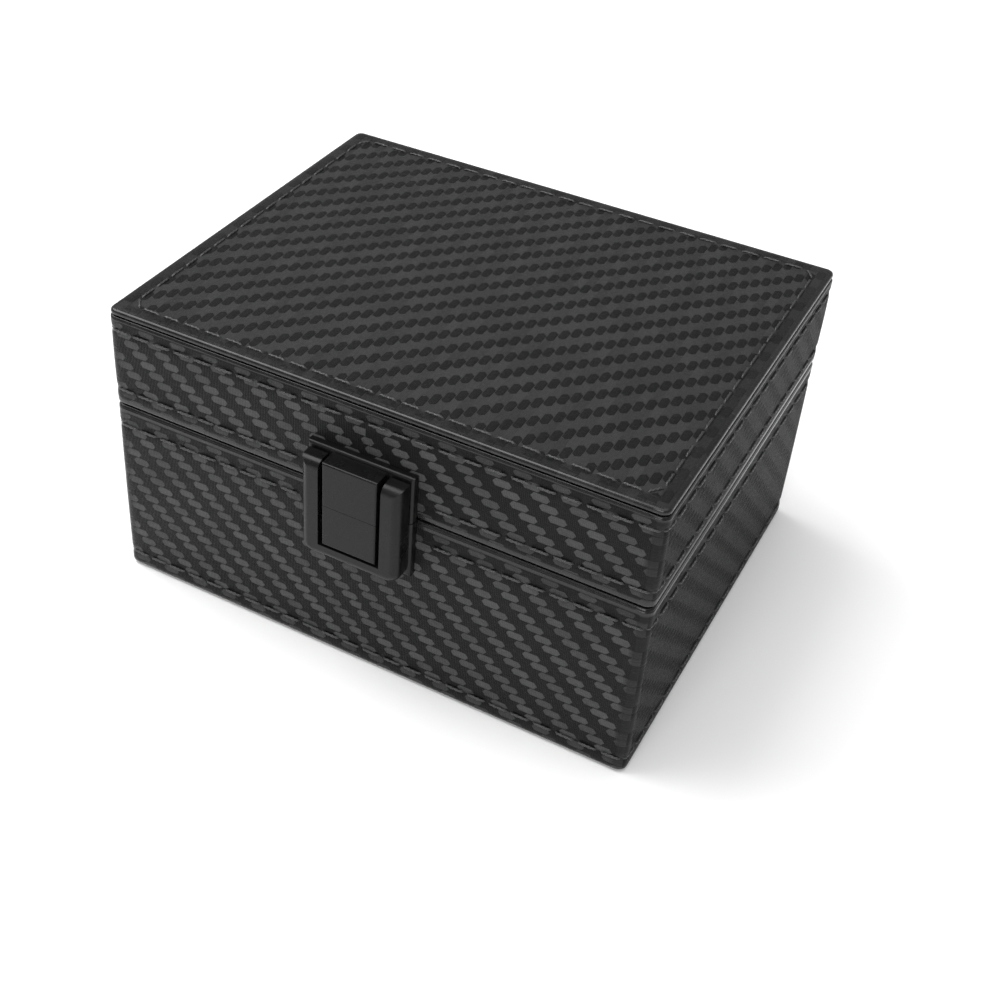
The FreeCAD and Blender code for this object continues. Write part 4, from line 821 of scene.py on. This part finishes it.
ribbed_knob()
pointer = bmesh.new()
pointer_width = 0.8 * MM
printed_line(pointer, 0.0, 0.32 * knob_radius, 0.66 * knob_radius, pointer_width, knob_high.z - dish)
pointer_piece = finish_mesh("knob_pointer", pointer, print_white, "knob", smooth=False)
ticks = bmesh.new()
cover_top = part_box("rear_cover")[1].z
tick_count = 5
half_sweep = 135
tick_near = knob_radius + 1.8 * MM
tick_far = knob_radius + 3.4 * MM
tick_width = 0.5 * MM
for tick in range(tick_count):
    tick_angle = math.radians(-half_sweep + 2 * half_sweep / (tick_count - 1) * tick)
    printed_line(ticks, tick_angle, tick_near, tick_far, tick_width, cover_top)
tick_piece = finish_mesh("cover_ticks", ticks, print_white, "base", smooth=False)


# Power inlet and leads
# A round low-voltage socket held in the rear wall by a nut inside; black sheathed leads run
# from it to the board and on to the motor.

dress(moulding, "power_jack")
dress(steel, "jack_nut")
sheath, _ = grained("sheath", grey(0.012), grey(0.025), 1500.0, 0.6, 0.03 * MM)
dress(sheath, "power_lead", "motor_lead")


# Studio
# A pale floor that runs off to white, a broad light high on the left, a weaker one in front
# and one overhead; the camera stands to the front right and above, as the photograph was taken.

floor_reach = 6.0
floor_build = bmesh.new()
bmesh.ops.create_grid(floor_build, x_segments=1, y_segments=1, size=floor_reach)
floor_mesh = bpy.data.meshes.new("floor")
floor_build.to_mesh(floor_mesh)
floor_build.free()
floor = bpy.data.objects.new("floor", floor_mesh)
bpy.context.scene.collection.objects.link(floor)
floor_material, _, floor_shader = new_material("floor_paper")
floor_shader.inputs["Base Color"].default_value = (0.92, 0.92, 0.92, 1)
floor_shader.inputs["Roughness"].default_value = 0.9
floor_mesh.materials.append(floor_material)

world = bpy.data.worlds.new("studio")
bpy.context.scene.world = world
world.use_nodes = True
backdrop = world.node_tree.nodes["Background"]
backdrop.inputs["Color"].default_value = (1, 1, 1, 1)
backdrop.inputs["Strength"].default_value = 0.42


def soft_light(name, place, aim, size, watts):
    data = bpy.data.lights.new(name, "AREA")
    data.size = size
    data.energy = watts
    light = bpy.data.objects.new(name, data)
    bpy.context.scene.collection.objects.link(light)
    light.location = place
    light.rotation_euler = (Vector(aim) - Vector(place)).to_track_quat("-Z", "Y").to_euler()


BOX_MIDDLE = (0, 0, 0.05)
soft_light("left_high", (-0.9, -0.1, 1.4), BOX_MIDDLE, 1.3, 24.0)
soft_light("front_fill", (0.2, -1.3, 1.0), BOX_MIDDLE, 0.8, 9.0)
soft_light("overhead", (0.1, -0.1, 2.0), (0, 0, 0), 2.2, 20.0)

CAMERA_PLACE = Vector((170.1, -365.6, 343.1)) * MM
AZIMUTH, ELEVATION, ROLL = (math.radians(angle) for angle in (26.39, 37.07, 3.62))
back = Vector((
    math.sin(AZIMUTH) * math.cos(ELEVATION),
    -math.cos(AZIMUTH) * math.cos(ELEVATION),
    math.sin(ELEVATION),
))
level_right = (-back).cross(Vector((0, 0, 1))).normalized()
level_up = level_right.cross(-back)
right = math.cos(ROLL) * level_right + math.sin(ROLL) * level_up
up = -math.sin(ROLL) * level_right + math.cos(ROLL) * level_up
camera_data = bpy.data.cameras.new("camera")
camera_data.lens = 54.5
camera_data.shift_x = 0.056
camera_data.shift_y = -0.056
camera = bpy.data.objects.new("camera", camera_data)
bpy.context.scene.collection.objects.link(camera)
camera.matrix_world = Matrix.Translation(CAMERA_PLACE) @ Matrix((right, up, back)).transposed().to_4x4()
bpy.context.scene.camera = camera
bpy.context.scene.view_settings.view_transform = "Standard"
